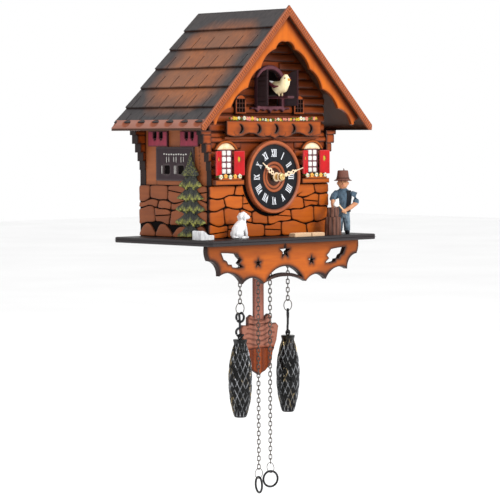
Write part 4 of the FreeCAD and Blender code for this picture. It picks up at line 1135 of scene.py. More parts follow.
def window_boxes_and_garland():
    """Sills with rows of flowers, and the garland along the balcony."""
    sills = Pile()
    box_front = edge("flower_boxes", 0, 1)
    for side in (-1, 1):
        x = side * WINDOW_X
        board(sills, [rectangle(x - 17.6, x + 17.6, 53, 57.4)], -101.5, FRONT, spacing=1.6, reach=1.5,
              strength=0.8)
        board(sills, [rectangle(x - 14.0, x + 14.0, 57.4, 59.4)], -102, -97.5, spacing=2, reach=1,
              strength=0.8)
        for i, colour in enumerate(("petal_white", "petal_orange", "petal_white", "petal_orange",
                                    "petal_white")):
            blossom(colour, (x - 11.6 + 5.8 * i, box_front + 2.2, 60.5 + rng.uniform(-0.4, 0.4)), 2.0)
        for i in range(14):
            leaf_clump((x - 13.4 + 2.07 * i, -99.6, 60.6), (1, 2, 1.1), 5)
    colours = ("petal_white", "petal_yellow", "petal_pink", "petal_white", "petal_yellow")
    count = 34
    for i in range(count):
        share = i / (count - 1)
        x = -54 + 108 * share
        dip = 1.6 * (0.5 - 0.5 * math.cos(2 * math.pi * share))
        z = BALCONY_TOP + 2.6 - dip + rng.uniform(-0.5, 0.5)
        thick = 1.25 if abs(abs(x) - 38) < 14 else 0.95
        leaf_clump((x, -101.6, z - 0.4), (1.6, 1.1, 1.2 * thick), 7)
        if rng.random() < 0.8:
            blossom(rng.choice(colours), (x + rng.uniform(-0.5, 0.5), -102.4, z),
                    rng.uniform(1.1, 1.5) * thick)
    sills.piece("window_sills", "fret", stands_for="flower_boxes")
    leaves.piece("flower_leaves", "leaf", node="flower_boxes", smooth=True)
    for name, pile in blooms.items():
        pile.piece(f"flowers_{name[6:]}", name, node="flower_boxes", smooth=True)


def side_windows():
    """The dark panels and the upper shutters of the side walls."""
    window_low, window_high = edge("side_windows", 0, 1), edge("side_windows", 1, 1)
    window_panels, fretwork, holes_behind, uppers = (Pile() for _ in range(4))
    for side in (-1, 1):
        face, wall = side * edge("side_windows", 1, 0), side * WALL_X
        outline = rectangle(window_low, window_high, edge("side_windows", 0, 2), edge("side_windows", 1, 2))
        pits = [rectangle(y, y + 8.5, 62.5, 70.5, 1.5) for y in (-62, -43)]
        board(window_panels, [outline] + pits, face, wall, axis=0, spacing=1.4, reach=1.6, strength=0.8)
        board(holes_behind, [rectangle(window_low + 2, window_high - 2, 58.5, 74)], wall + side * 0.4, wall,
              axis=0, spacing=6, strength=0)
        for y in np.arange(window_low + 8, window_high - 12, 3.3):
            drop = rng.uniform(1.0, 2.6)
            pillow(fretwork, rectangle(y, y + 2.4, 79 + drop * 0.4, 80.6 + drop * 0.4, 0.5), face, 0.3,
                   axis=0, away=side)
            if rng.random() < 0.6:
                pillow(fretwork, rectangle(y + 0.9, y + 1.6, 74.6 - drop, 78.6, 0.3), face, 0.3, axis=0,
                       away=side)
        for y in (-66.5, -52, -50, -33):
            pillow(fretwork, rectangle(y, y + 0.7, 62.5, 70.5, 0.3), face, 0.3, axis=0, away=side)
        for low, high in ((-39.5, -13), (-81.4, -57)):
            wide = high - low
            cuts = [rectangle(low + wide * s, low + wide * (s + 0.17), 95, 101, 0.9) for s in (0.24, 0.56)]
            cuts += [rectangle(low + wide * (s + 0.02), low + wide * (s + 0.09), 93.4, 94.4, 0.3)
                     for s in (0.26, 0.58)]
            outline = rectangle(low, high, edge("side_shutters", 0, 2), edge("side_shutters", 1, 2))
            board(uppers, [outline] + cuts, side * (WALL_X + 2.5), wall, axis=0, spacing=1.3, reach=1.5,
                  strength=0.9)
            board(holes_behind, [rectangle(low + 2, high - 2, 90, 101)], wall + side * 0.4, wall, axis=0,
                  spacing=6, strength=0)
    window_panels.piece("side_window_panels", "plum", stands_for="side_windows")
    fretwork.piece("side_window_fretwork", "white", node="side_windows")
    holes_behind.piece("side_window_pits", "soot", node="side_windows")
    uppers.piece("upper_side_shutters", "magenta", stands_for="side_shutters")


TIERS = (5.0, 17.5, 29.5, 39.5, 51.0, 61.0, 84.4)
FIR_MIDDLE = -73.0


def fir_tiers(points):
    """Each tier slopes out to a ragged, light-tipped lower edge over the next one."""
    z = points[:, 1] + 1.3 * np.sin(points[:, 0] * 0.62) + 0.8 * np.sin(points[:, 0] * 1.9)
    tier = np.clip(np.searchsorted(TIERS, z) - 1, 0, len(TIERS) - 2)
    low, high = np.asarray(TIERS)[tier], np.asarray(TIERS)[tier + 1]
    share = np.clip((z - low) / (high - low), 0, 1)
    speckle = np.array([rng.random() for _ in z])
    tips = np.clip(1.15 - share * 2.6, 0, 1) * (0.2 + 1.1 * speckle ** 1.5) * (tier < len(TIERS) - 2)
    tips += 0.35 * (tier == len(TIERS) - 2) * (speckle > 0.72)
    return 2.3 * share + 0.8 * speckle, np.clip(tips, 0, 1)


def fir_outline():
    """A slim fir: each tier's boughs spread and droop, and the top runs up to a point."""
    right = []
    for foot, spread in ((5.0, 17.0), (17.5, 19.5), (29.5, 18.5), (39.5, 17.0), (51.0, 14.5), (61.0, 10.5)):
        right += [(spread, foot + 1.2), (spread - 1.6, foot + 3.6), (0.62 * spread, foot + 6.4),
                  (0.42 * spread, foot + 9.4)]
    loop = [(FIR_MIDDLE + u, v) for u, v in right] + [(FIR_MIDDLE, 84.2)]
    loop += [(FIR_MIDDLE - u + rng.uniform(-0.7, 0.7), v) for u, v in right[::-1]]
    return np.array(loop)


def side_firs():
    """One fir on each side wall."""
    trees = Pile()
    stone_face = edge("masonry_sides", 1, 0)
    for side in (-1, 1):
        board(trees, [fir_outline()], side * edge("fir_trees", 1, 0), side * stone_face, axis=0, spacing=0.85,
              strength=0, soften=0.4, carve=fir_tiers)
    trees.piece("side_fir_trees", "fir", stands_for="fir_trees")


# --- dial and hands -------------------------------------------------------------------------

def turning(pile, profile, count=72):
    """Adds a form turned about the dial's axis; each profile row is radius, depth, burn."""
    rings = [circle((0, depth, DIAL[1]), (1, 0, 0), (0, 0, 1), radius, count=count)
             for radius, depth, _ in profile]
    points, faces = loft(rings, caps=False)
    pile.add(points, faces, burn=np.repeat([burn for _, _, burn in profile], count))


RIM = edge("dial_rim", 1, 0)
RIM_FRONT, RIM_BACK = edge("dial_rim", 0, 1), edge("dial_rim", 1, 1)
RING_FACE = edge("chapter_ring", 0, 1)


def dial():
    """The turned rim, the rings inside it and the black chapter ring."""
    rim = Pile()
    turning(rim, [(RIM - 3, RIM_BACK, 1), (RIM - 0.3, RIM_BACK, 0.9), (RIM, RIM_BACK - 0.8, 0.5),
                  (RIM, -100.4, 0.2), (RIM - 0.5, -100.7, 0.9), (RIM - 0.1, -101, 0.4),
                  (RIM - 0.1, -101.9, 0), (RIM - 0.6, -102.7, 0),
                  (RIM - 1.5, RIM_FRONT, 0), (RIM - 2.5, RIM_FRONT + 0.1, 0.05), (RIM - 3.3, -102.3, 0.45),
                  (RIM - 3.9, -101.9, 0.75), (RIM - 4.2, -100.6, 1)])
    turning(rim, [(14.3, -100.6, 1), (14.2, -101.6, 0.9), (13.6, -102, 0.2), (12.4, -102.1, 0),
                  (11.6, -101.6, 0.3), (11.1, -101.0, 0.9), (10.5, -101.2, 0.6), (9.9, -101.7, 0.1),
                  (8.9, -101.8, 0), (8.1, -101.3, 0.5),
                  (7.6, -100.8, 0.95), (6.0, -100.7, 0.85), (3.4, -100.6, 1)])
    rim.piece("turned_dial_rim", "rim", stands_for="dial_rim", smooth=True)
    ring = Pile()
    turning(ring, [(29.4, -100.4, 0), (29.3, RING_FACE + 0.2, 0), (29.0, RING_FACE, 0), (14.6, RING_FACE, 0),
                   (14.4, RING_FACE + 0.2, 0), (14.3, -100.4, 0)])
    ring.piece("dial_ring", "dial_black", stands_for="chapter_ring", smooth=True)


def stroke(x0, x1, wide, tall=6.4):
    """A slanted or upright stem from its foot at x0 to its head at x1."""
    return [(x0 - wide / 2, 0), (x0 + wide / 2, 0), (x1 + wide / 2, tall), (x1 - wide / 2, tall)]


def serif(x, z, wide):
    return [(x - wide / 2, z - 0.28), (x + wide / 2, z - 0.28), (x + wide / 2, z + 0.28),
            (x - wide / 2, z + 0.28)]


LETTERS = {
    "I": (1.75, [stroke(0, 0, 0.85), serif(0, 0, 1.5), serif(0, 6.4, 1.5)]),
    "V": (3.3, [stroke(0, -1.1, 0.95), stroke(0, 1.1, 0.5), serif(-1.1, 6.4, 1.5), serif(1.1, 6.4, 1.3)]),
    "X": (3.3, [stroke(1.1, -1.1, 0.95), stroke(-1.1, 1.1, 0.5), serif(-1.1, 6.4, 1.5), serif(1.1, 6.4, 1.3),
                serif(-1.1, 0, 1.3), serif(1.1, 0, 1.5)]),
}
HOURS = ("XII", "I", "II", "III", "IIII", "V", "VI", "VII", "VIII", "IX", "X", "XI")
NUMERAL_FOOT, NUMERAL_RISE = 18.6, 0.22


def roman_numerals():
    """Raised numerals that stand with their feet to the centre."""
    numerals = Pile()
    for hour, word in enumerate(HOURS):
        angle = math.radians(30 * hour)
        along = np.array([math.cos(angle), -math.sin(angle)])
        out = np.array([math.sin(angle), math.cos(angle)])
        width = sum(LETTERS[letter][0] for letter in word)
        squeeze = min(1.0, 7.8 / width)
        cursor = -width / 2
        for letter in word:
            advance, strokes = LETTERS[letter]
            cursor += advance / 2
            for shape in strokes:
                flat = np.array([DIAL + along * squeeze * (u + cursor) + out * (NUMERAL_FOOT + v)
                                 for u, v in shape])
                both = np.concatenate([lay(1, flat, RING_FACE - NUMERAL_RISE), lay(1, flat, RING_FACE + 0.1)])
                walls = [(i, (i + 1) % 4, 4 + (i + 1) % 4, 4 + i) for i in range(4)]
                numerals.add(both, [(3, 2, 1, 0)] + walls)
            cursor += advance / 2
    numerals.piece("roman_numerals", "numeral", node="chapter_ring")


def hand_outline(length, swells):
    """Half widths along a serpentine hand, with a pierced eye in each larger swell."""
    places = np.linspace(0, length, 60)
    wide = 0.75 - 0.4 * places / length
    for middle, spread, extra in swells:
        wide += extra * np.clip(1 - ((places - middle * length) / (spread * length)) ** 2, 0, 1) ** 0.7
    wide[-1] = 0.12
    outline = np.concatenate([np.stack([-wide, places], 1), np.stack([wide, places], 1)[::-1]])
    eyes = [oval(18, 0.56 * extra, 0.62 * spread * length, (0, middle * length))
            for middle, spread, extra in swells if extra > 1.2]
    return outline, eyes


def hand(name, body, length, degrees, boss, swells, bore):
    """A pierced hand round its arbor, turned clockwise from twelve."""
    plane = edge(name, 0, 1)
    outline, eyes = hand_outline(length, swells)
    angles = np.linspace(math.radians(70), math.radians(-250), 40)
    disc = np.stack([boss * np.cos(angles), boss * np.sin(angles)], 1)
    outline = np.concatenate([outline[outline[:, 1] > boss * 0.8], disc])
    turn = math.radians(degrees)
    spin = np.array([[math.cos(turn), -math.sin(turn)], [math.sin(turn), math.cos(turn)]])
    loops = [loop @ spin + DIAL for loop in [outline] + eyes + [oval(24, bore, bore)]]
    pile = Pile()
    board(pile, loops, plane, plane + 0.8, spacing=0.6, reach=0.4, strength=0, soften=0.22)
    pile.piece(f"carved_{name}", "ivory", body, stands_for=name, smooth=True)


MINUTE_SWELLS = ((0.24, 0.055, 1.1), (0.36, 0.07, 1.75), (0.47, 0.035, 0.8), (0.56, 0.06, 1.5),
                 (0.66, 0.035, 0.6))
HOUR_SWELLS = ((0.3, 0.08, 1.3), (0.46, 0.09, 2.0), (0.6, 0.045, 0.9), (0.72, 0.05, 1.0))


def hands_and_arbor():
    """Both hands, and the brass arbor with its nut."""
    hand("minute_hand", "minute", 30.3, 74.4, 3.9, MINUTE_SWELLS, 1.9)
    hand("hour_hand", "hour", 21.8, 307.0, 4.2, HOUR_SWELLS, 2.4)
    shaft = Pile()
    turning(shaft, [(2.0, -66.2, 0), (2.0, -111.4, 0)], count=32)
    turning(shaft, [(2.2, -110.7, 0), (3.4, -111, 0), (3.5, -111.8, 0), (3.3, -112.7, 0), (2.6, -113.2, 0),
                    (1.7, -113.1, 0), (1.5, -112.4, 0), (0.05, -112.2, 0)], count=40)
    board(shaft, [face_loops("minute_arbor", 1, 0, level=-76.5)[0]], -76.5, -73, spacing=1, strength=0,
          soften=0.1)
    shaft.piece("arbor_and_nut", "brass", "minute", stands_for="minute_arbor", smooth=True)


# --- the cuckoo and its doors ---------------------------------------------------------------

DOOR_WIDTH, DOOR_FOOT, DOOR_HEAD, DOOR_OPEN = 15.6, 124.2, 157.0, math.radians(100)
HINGE_X, HINGE_Y = 16.0, -98.4


def bird_doorway():
    """The arched frame and its two leaves, standing open."""
    sawn("doorway_frame", "mauve", "bird_door_frame", reach=1.0, strength=0.7, spacing=1.2, soften=0.6)
    for side, node in ((-1, "bird_door_left"), (1, "bird_door_right")):
        reach_x = -side * DOOR_WIDTH
        leaf = np.array([(0, DOOR_FOOT), (reach_x, DOOR_FOOT), (reach_x, 157), (reach_x * 0.6, 155.6),
                         (reach_x * 0.25, 152.5), (0, 149.5)])
        groove_z = np.arange(DOOR_FOOT + 4, DOOR_HEAD - 4, 4.6)

        def door_boards(points):
            hit = np.clip(1 - np.min([abs(points[:, 1] - z) for z in groove_z], axis=0) / 0.5, 0, 1)
            return 0.3 * hit, 0.8 * hit

        leaves_pile, strip = Pile(), Pile()
        board(leaves_pile, [leaf], -1.6, -0.25, spacing=1.1, reach=1, strength=0.7, carve=door_boards)
        board(strip, [rectangle(*sorted((reach_x, reach_x * 0.93)), DOOR_FOOT, DOOR_HEAD)], -1.6, 0,
              spacing=2, reach=0.8, strength=0.6)
        board(strip, [rectangle(*sorted((0, reach_x * 0.06)), DOOR_FOOT, 149)], -1.6, 0, spacing=2, reach=0.8,
              strength=0.6)
        for pile in (leaves_pile, strip):
            turned(pile, 0, side * DOOR_OPEN, (side * HINGE_X, HINGE_Y, 0))
        leaves_pile.piece(f"{node}_leaf", "dark", node[5:], stands_for=node)
        strip.piece(f"{node}_stiles", "mauve", node[5:], node=node)


PERCH_TOP = edge("bird_perch", 0, 2) + 2.3


def cuckoo():
    """The bird on its sliding perch."""
    perch = Pile()
    board(perch, [rectangle(-4, 4, edge("bird_perch", 0, 1), -76)], PERCH_TOP - 2.3, PERCH_TOP, axis=2,
          spacing=2, reach=1, strength=0.6)
    board(perch, [rectangle(-3, 3, -76, -70)], PERCH_TOP - 2.3, PERCH_TOP + 5.7, axis=2, spacing=2,
          strength=0.5)
    perch.piece("bird_platform", "mauve", "cuckoo", stands_for="bird_perch")
    bird, wings, beak, tail = Pile(), Pile(), Pile(), Pile()
    bird.add(*limb([(0, -101.5, 144.2), (0, -104.5, 142.2), (0, -108.5, 140.6), (0, -113, 141.6),
                    (0, -116, 145), (0, -117, 148.2), (0, -117.2, 150.4)],
                   (2.6, 4.6, 6.2, 5.7, 4.6, 4.3, 3.0), 24))
    for side in (-1, 1):
        wings.add(*limb([(side * 5.2, -112.6, 141.8), (side * 5.6, -108.4, 141.6),
                         (side * 4.8, -103.4, 143.2), (side * 2.6, -99, 145.6)],
                        (1.4, 3.0, 2.1, 0.8), 14, squash=0.42))
        wings.add(*blob((side * 3.4, -119.6, 149.2), (0.6, 0.6, 0.7), count=10))
        bird.add(*limb([(side * 1.8, -110.4, PERCH_TOP), (side * 2, -110, 137)], (0.7, 1.2), 10))
    beak.add(*limb([(0, -120.3, 147.9), (0, -122.4, 147.5), (0, -123.8, 147.1)], (1.35, 0.8, 0.2), 12))
    tail.add(*limb([(0, -103, 144.6), (0, -100.4, 145.6), (0, -98, 146.5)], (2.0, 2.5, 2.0), 14, squash=0.36))
    bird.piece("bird_body", "bird_cream", "cuckoo", stands_for="bird", smooth=True)
    wings.piece("bird_wings", "wing", "cuckoo", node="bird", smooth=True)
    beak.piece("bird_beak", "petal_orange", "cuckoo", node="bird", smooth=True)
    tail.piece("bird_tail", "white", "cuckoo", node="bird", smooth=True)


# --- pendulum, chains and weights -----------------------------------------------------------

STICK_FRONT, STICK_BACK = edge("pendulum_stick", 0, 1), edge("pendulum_stick", 1, 1)
PIVOT = 40.0


def pendulum_stick():
    """The flat stick with its pivot hole."""
    stick = Pile()
    half = edge("pendulum_stick", 1, 0)
    outline = rectangle(-half, half, edge("pendulum_stick", 0, 2), edge("pendulum_stick", 1, 2))
    board(stick, [outline, oval(20, 1.3, 1.3, (0, PIVOT))], STICK_FRONT, STICK_BACK, spacing=1.8, reach=1.4,
          strength=0.6)
    stick.piece("pendulum_rod", "stick", "pendulum", stands_for="pendulum_stick")


def bob_carving(points):
    """Level gouges over the upper shield, a collar line, then upright flutes down to the point."""
    x, z = points[:, 0], points[:, 1]
    wave = np.sin((z + 1.4 * np.cos(x * 0.22)) * 2 * math.pi / 4.6 + 0.4 * np.sin(x * 0.5))
    gouge = np.clip(wave, 0, 1) ** 2 * (abs(x) < 19 - abs(z + 86) * 0.35) * (z > -96.5) * (z < -71)
    collar = np.clip(1 - abs(z + 98.6 + 0.03 * abs(x)) / 1.0, 0, 1)
    flute = (0.5 - 0.5 * np.cos(2 * math.pi * x / 7.2)) * (z < -99.5)
    shoulder = np.clip(1 - abs(z + 76.5) / 0.8, 0, 1) * (abs(x) < 14.5)
    depth = 0.9 * gouge + 0.9 * collar + 1.0 * flute + 0.7 * shoulder
    return depth, 0.55 * gouge + 0.9 * collar + 0.6 * flute + 0.75 * shoulder


def bob_stain(points):
    """The shield is pinker than the point under the collar."""
    return np.clip((points[:, 1] + 99) / 3, 0, 1)


def pendulum_bob():
    """The carved shield on the stick."""
    # The bob's back stops just short of the stick's.
    bob = Pile()
    board(bob, face_loops("pendulum_bob", 1, 0), edge("pendulum_bob", 0, 1), STICK_BACK - 0.15, reach=1.7,
          strength=0.8, spacing=0.75, soften=0.7, carve=bob_carving, tint=bob_stain)
    bob.piece("pendulum_leaf", "red_wood", "pendulum", stands_for="pendulum_bob", smooth=True)


WIRE = 0.45
LINK_BEND, LINK_REACH, LINK_PITCH = 1.35, 1.075, 3.85


def chain_link(pile, centre, turn):
    """One link: a loop with two straight sides and two half-round ends."""
    side = Vector((math.cos(turn), math.sin(turn), 0))
    normal = Vector((-math.sin(turn), math.cos(turn), 0))
    count, around = 24, 8
    rings = []
    for i in range(count):
        angle = 2 * math.pi * (i + 0.5) / count
        out = side * math.cos(angle) + Vector((0, 0, math.sin(angle)))
        middle = Vector(centre) + out * LINK_BEND + Vector((0, 0, math.copysign(LINK_REACH, math.sin(angle))))
        rings.append(circle(middle, out, normal, WIRE, count=around))
    pile.add(*closed_tube(rings))


CHAIN_Y = -88.0
FIRST_LINK = 7.875
CHAIN_TWIST = math.radians(44)
RING_TWIST = math.radians(-20)


def strand(node, body, x, count, ring_radius, ring_wire):
    """A hanging chain and the split ring at its foot; gives the ring's centre height."""
    pile = Pile()
    for i in range(count + 1):
        chain_link(pile, (x, CHAIN_Y, FIRST_LINK - LINK_PITCH * i),
                   CHAIN_TWIST + (math.pi / 2 if i % 2 == 0 else 0))
    centre = edge(node, 0, 2) + ring_radius + ring_wire
    normal = (0, 1, 0) if count % 2 == 0 else (1, 0, 0)
    pile.add(*torus((x, CHAIN_Y, centre), normal, ring_radius, ring_wire, count=48))
    pile.piece(f"{node}_links", "chain", body, stands_for=node, smooth=True)
    return centre


def bent_wire(pile, path, radius, count=12):
    """A rod bent along a path."""
    points = [Vector(p) for p in path]
    pile.add(*limb(points, [radius] * len(points), count))


def cone_barrel(pile, x, y, top):
    """A cast fir cone: a flared rim, a neck, and a barrel covered by a lattice of ridges."""
    around, tall = 192, 71.5
    neck, foot, widest = -4.4, -69.5, 11.0
    middle = -0.5 * tall
    heights = np.concatenate([[0, -0.25, -1.3, -2.2, -3.2], np.linspace(neck, foot, 130), [-70.6, -71.5]])
    angles = np.linspace(0, 2 * math.pi, around, endpoint=False)
    ways, climbs = 12, 5.6
    rings, ridges = [], []
    for z in heights:
        if z > neck:
            radius = {0: 6.0, -0.25: 6.4, -1.3: 6.5, -2.2: 6.2, -3.2: 5.9}[round(float(z), 2)]
        elif z >= foot:
            end, power = (5.8, 2.1) if z > middle else (6.2, 2.4)
            share = abs(z - middle) / (neck - middle if z > middle else middle - foot)
            radius = widest - (widest - end) * share ** power
        else:
            radius = 5.9 if z > -71 else 4.9
        share = (neck - z) / (neck - foot)
        if 0 <= share <= 1:
            turns = ways * angles / (2 * math.pi)
            one = abs((turns + climbs * share) % 1 - 0.5) * 2
            two = abs((turns - climbs * share) % 1 - 0.5) * 2
            nearest = np.maximum(one, two)
            ridge = np.clip((nearest - 0.82) / 0.15, 0, 1)
            bulge = np.minimum(1 - one, 1 - two)
            offset = -0.85 + 0.85 * ridge + 0.5 * np.clip(bulge, 0, 0.5)
            fade = min(1, share / 0.03, (1 - share) / 0.02)
            offset = offset * fade
        else:
            ridge, offset = np.full(around, 0.08), np.zeros(around)
        rings.append(np.stack([x + (radius + offset) * np.cos(angles), y + (radius + offset) * np.sin(angles),
                               np.full(around, top + z)], 1))
        ridges.append(ridge)
    points, faces = loft(rings)
    pile.add(points, faces, ridge=np.concatenate(ridges + [np.array([0.2, 0.2])]))


WEIGHT_X, PULL_X = 30.5, 7.5
HOOK_WIRE, HOOK_DROP = 1.1, 18.6
HOOK_UNDER_RING = 1.45


def weights():
    """Chains with a bent wire hook and a cone weight each."""
    for side, word, turn in ((-1, "left", 38), (1, "right", -40)):
        x = side * WEIGHT_X
        centre = strand(f"{word}_weight_chain", f"strand_{word}", x, 16, 5.1, 0.4)
        eye = centre - 5.1 + HOOK_UNDER_RING
        spin = Matrix.Rotation(math.radians(turn), 3, "Z")
        middle = Vector((x, CHAIN_Y, 0))
        hook = Pile()
        path = [(0, 0.4 * math.sin(a) - 3.9 * math.sin(a), -4.3 + 4.3 * math.cos(a))
                for a in np.linspace(math.radians(14), math.radians(346), 26)]
        path += [(0, 0.2, -9.6), (0, 0.2, -HOOK_DROP + 5.0)]
        path += [(0, -3.7 * math.sin(a), -HOOK_DROP + 0.6 + 3.9 * math.cos(a))
                 for a in np.radians(np.linspace(-14, -232, 16))]
        bent_wire(hook, [middle + spin @ Vector(p) + Vector((0, 0, eye)) for p in path], HOOK_WIRE)
        hook.piece(f"{word}_hook", "black_steel", f"weight_{word}", node=f"{word}_weight", smooth=True)
        top = eye - 21.6 + 0.9 + 0.8 + 0.15
        barrel = Pile()
        cone_barrel(barrel, x, CHAIN_Y, top - 2 * 2.2 - 0.2)
        barrel.add(*torus((x, CHAIN_Y, top - 2.2), (0, 1, 0), 2.2, 0.8, count=28))
        barrel.piece(f"{word}_fir_cone", "cone", f"weight_{word}", stands_for=f"{word}_weight", smooth=True)


def pull_chains():
    """Chains with a pull ring each."""
    for side, word, count in ((-1, "left", 56), (1, "right", 55)):
        x = side * PULL_X
        strand(f"{word}_pull_chain", f"pull_{word}", x, count, 4.7, 0.35)
        across = Matrix.Rotation(RING_TWIST, 3, "Z") @ Vector((1, 0, 0) if count % 2 == 0 else (0, 1, 0))
        ring = Pile()
        ring.add(*torus((x, CHAIN_Y, edge(f"{word}_pull_ring", 0, 2) + 8.2), across, 7.2, 1.0, count=56,
                        around=14))
        ring.piece(f"{word}_pull_loop", "black_steel", f"ring_{word}", stands_for=f"{word}_pull_ring",
                   smooth=True)


# --- figures on the base --------------------------------------------------------------------

MAN_X, MAN_Y = 84.5, -107.5
FACING = Vector((-0.66, -0.75, 0))
ACROSS = Vector((0.75, -0.66, 0))


def figure(name, look, parts, body="case", stands_for=(), node="woodcutter"):
    """One painted part of a figure from several rounded forms."""
    pile = Pile()
    for points, faces in parts:
        pile.add(points, faces)
    return pile.piece(name, look, body, stands_for=stands_for, node=node, smooth=True)


def oval_rings(levels, count=28):
    """A body from ovals: each level is its centre, half width and half depth."""
    return loft([circle(centre, ACROSS, FACING, wide, deep / wide, count) for centre, wide, deep in levels])


def man(height, ahead=0.0, aside=0.0):
    """A place on the woodcutter: up from the plate, ahead of them and to their side."""
    spot = Vector((MAN_X, MAN_Y, PLATE_TOP + height)) + FACING * ahead + ACROSS * aside
    return tuple(spot)


HEAD = Vector((82.5, -109.1, 52.5))
SHOULDER = Vector((90.6, -116.4, 42))
ELBOW = Vector((89.5, -119.6, 34))
HAND = Vector((76.5, -116.5, 26.5))


def woodcutter():
    """A small carved figure in a hat and a dark vest."""
    figure("woodcutter_trousers", "trousers", [
        oval_rings([(man(15, 0), 5.4, 4.6), (man(18.5, 0.2), 6.2, 5.2), (man(22, 0), 6.0, 5.0)]),
        limb([man(19, 0, -2.4), man(11, 1.0, -3.2), man(3.2, -0.4, -3.6)], (3.7, 3.2, 2.9), 18),
        limb([man(19, 0, 2.4), man(11, 2.4, 3.2), man(3.2, 1.6, 3.6)], (3.7, 3.2, 2.9), 18),
    ])
    figure("woodcutter_boots", "vest", [
        limb([man(1.9, -1.6, -3.6), man(1.8, 1.6, -3.8), man(1.5, 4.2, -4)], (2.3, 2.2, 1.6), 14),
        limb([man(1.9, 0.4, 3.6), man(1.8, 3.4, 3.8), man(1.5, 6.0, 4)], (2.3, 2.2, 1.6), 14),
    ])
    figure("woodcutter_shirt", "shirt", [
        oval_rings([(man(21, 0.2), 6.2, 5.0), (man(26, 0.3), 6.3, 5.2), (man(32, 0.5), 6.9, 5.5),
                    (man(37, 0.4), 7.5, 5.2), (man(40.3, 0), 6.4, 4.2), (man(42.3, 0), 3.2, 2.9)]),
        limb([(80.0, -103.8, 43.2), (76.4, -103.4, 40.6), (73.0, -105.0, 37.4)], (3.2, 3.1, 3.0), 16),
        torus((83.6, -108.2, 46.9), (0, 0, 1), 3.1, 0.8, 24, 8),
    ])
    figure("woodcutter_vest", "vest", [
        loft([[tuple(Vector(man(h, 0.4)) + (ACROSS * math.cos(a) * wide + FACING * math.sin(a) * deep) * grow)
               for a, grow in [(math.radians(t), 1.10) for t in range(-205, 66, 15)]
               + [(math.radians(t), 0.98) for t in range(65, -206, -15)]]
              for h, wide, deep in ((20.5, 6.4, 5.1), (26, 6.5, 5.3), (32, 7.1, 5.6), (37, 7.7, 5.3),
                                    (40.6, 6.6, 4.3))]),
    ])
    figure("woodcutter_skin", "skin", [
        blob(HEAD, (4.9, 4.9, 5.9), count=28),
        limb([man(40.5), man(44)], (2.5, 2.6), 14),
        blob(HEAD + FACING * 4.8 + Vector((0, 0, -0.5)), (0.95, 0.95, 1.2), count=12),
        blob(HEAD + ACROSS * 4.8 + Vector((0, 0, -0.2)), (0.9, 0.9, 1.5), count=12),
        blob(HEAD - ACROSS * 4.8 + Vector((0, 0, -0.2)), (0.9, 0.9, 1.5), count=12),
        limb([(73.6, -104.6, 37.8), (70.4, -107.6, 33.2), (68.0, -110.4, 29.6)], (2.1, 1.8, 1.5), 14),
        limb([(68.4, -110.0, 30.0), (66.6, -111.4, 27.0), (65.8, -112.0, 24.6)], (1.9, 1.5, 0.8), 12),
    ], stands_for="woodcutter")
    figure("woodcutter_features", "vest", [
        blob(HEAD + FACING * 4.45 + ACROSS * side * 1.75 + Vector((0, 0, 1.1)), (0.5, 0.5, 0.45), count=10)
        for side in (-1, 1)
    ])
    figure("woodcutter_mouth", "petal_pink", [
        blob(HEAD + FACING * 4.35 + Vector((0, 0, -2.6)), (1.1, 0.7, 0.3),
             turn=math.atan2(ACROSS.y, ACROSS.x), count=10),
    ])
    hat_centre = HEAD + Vector((0.2, 0.2, 3.0))
    hat = Pile()
    hat.add(*loft([circle(hat_centre + Vector((0, 0, z)), (1, 0, 0), (0, 1, 0), r, count=32) for z, r in
                   ((0.2, 4.9), (-0.9, 8.1), (-0.6, 8.5), (0.6, 6.6), (1.6, 5.9), (5, 5.4), (8.2, 5.0),
                    (8.9, 4.5), (8.3, 2.6),
                    (8.0, 0.6))]))
    hat.add(*torus(hat_centre + Vector((0, 0, 1.7)), (0, 0, 1), 5.75, 0.55, 30, 8), burn=0.8)
    hat.add(*limb([hat_centre + Vector((4.4, 2.2, 3)), hat_centre + Vector((4.6, 2.6, 7)),
                   hat_centre + Vector((4.0, 2.8, 10.6))], (0.5, 0.9, 0.3), 8))
    hat.piece("woodcutter_hat", "felt", node="woodcutter", smooth=True)


def axe_arm():
    """The right arm and the hatchet, which move together."""
    figure("axe_sleeve", "shirt", [
        limb([SHOULDER + Vector((-1.6, 1.8, 0.6)), SHOULDER, ELBOW + Vector((0.2, 0.6, 2.2)), ELBOW],
             (2.6, 3.0, 2.9, 2.7), 16),
    ], "axe_arm", node="axe_arm")
    figure("axe_forearm", "skin", [
        limb([ELBOW, ELBOW.lerp(HAND, 0.5) + Vector((0, -0.4, -0.5)), HAND], (2.2, 2.0, 1.5), 16),
        limb([HAND + Vector((1.4, 0, 0.4)), HAND, HAND + Vector((-1.6, 0.2, -0.2))], (1.7, 2.2, 1.6), 14),
    ], "axe_arm", stands_for="axe_arm", node="axe_arm")
    POLL = Vector((68, -116, 34))
    along = (POLL - HAND).normalized()
    figure("axe_handle", "plank", [limb([HAND - along * 3, HAND.lerp(POLL, 0.5), POLL + along * 1.4],
                                        (0.85, 0.75, 0.8), 12)],
           "axe_arm", node="axe_arm")
    head_pile = Pile()
    board(head_pile, [np.array([(66.0, 37.6), (69.6, 38.6), (69.9, 35.0), (70.4, 31.4), (66.4, 30.4),
                                (63.6, 31.8),
                                (63.9, 34.2), (65.2, 35.6)])], -116.9, -115.1, spacing=0.8, reach=0.6,
                                strength=0.2,
          soften=0.5)
    head_pile.piece("axe_head", "white", "axe_arm", node="axe_arm", smooth=True)


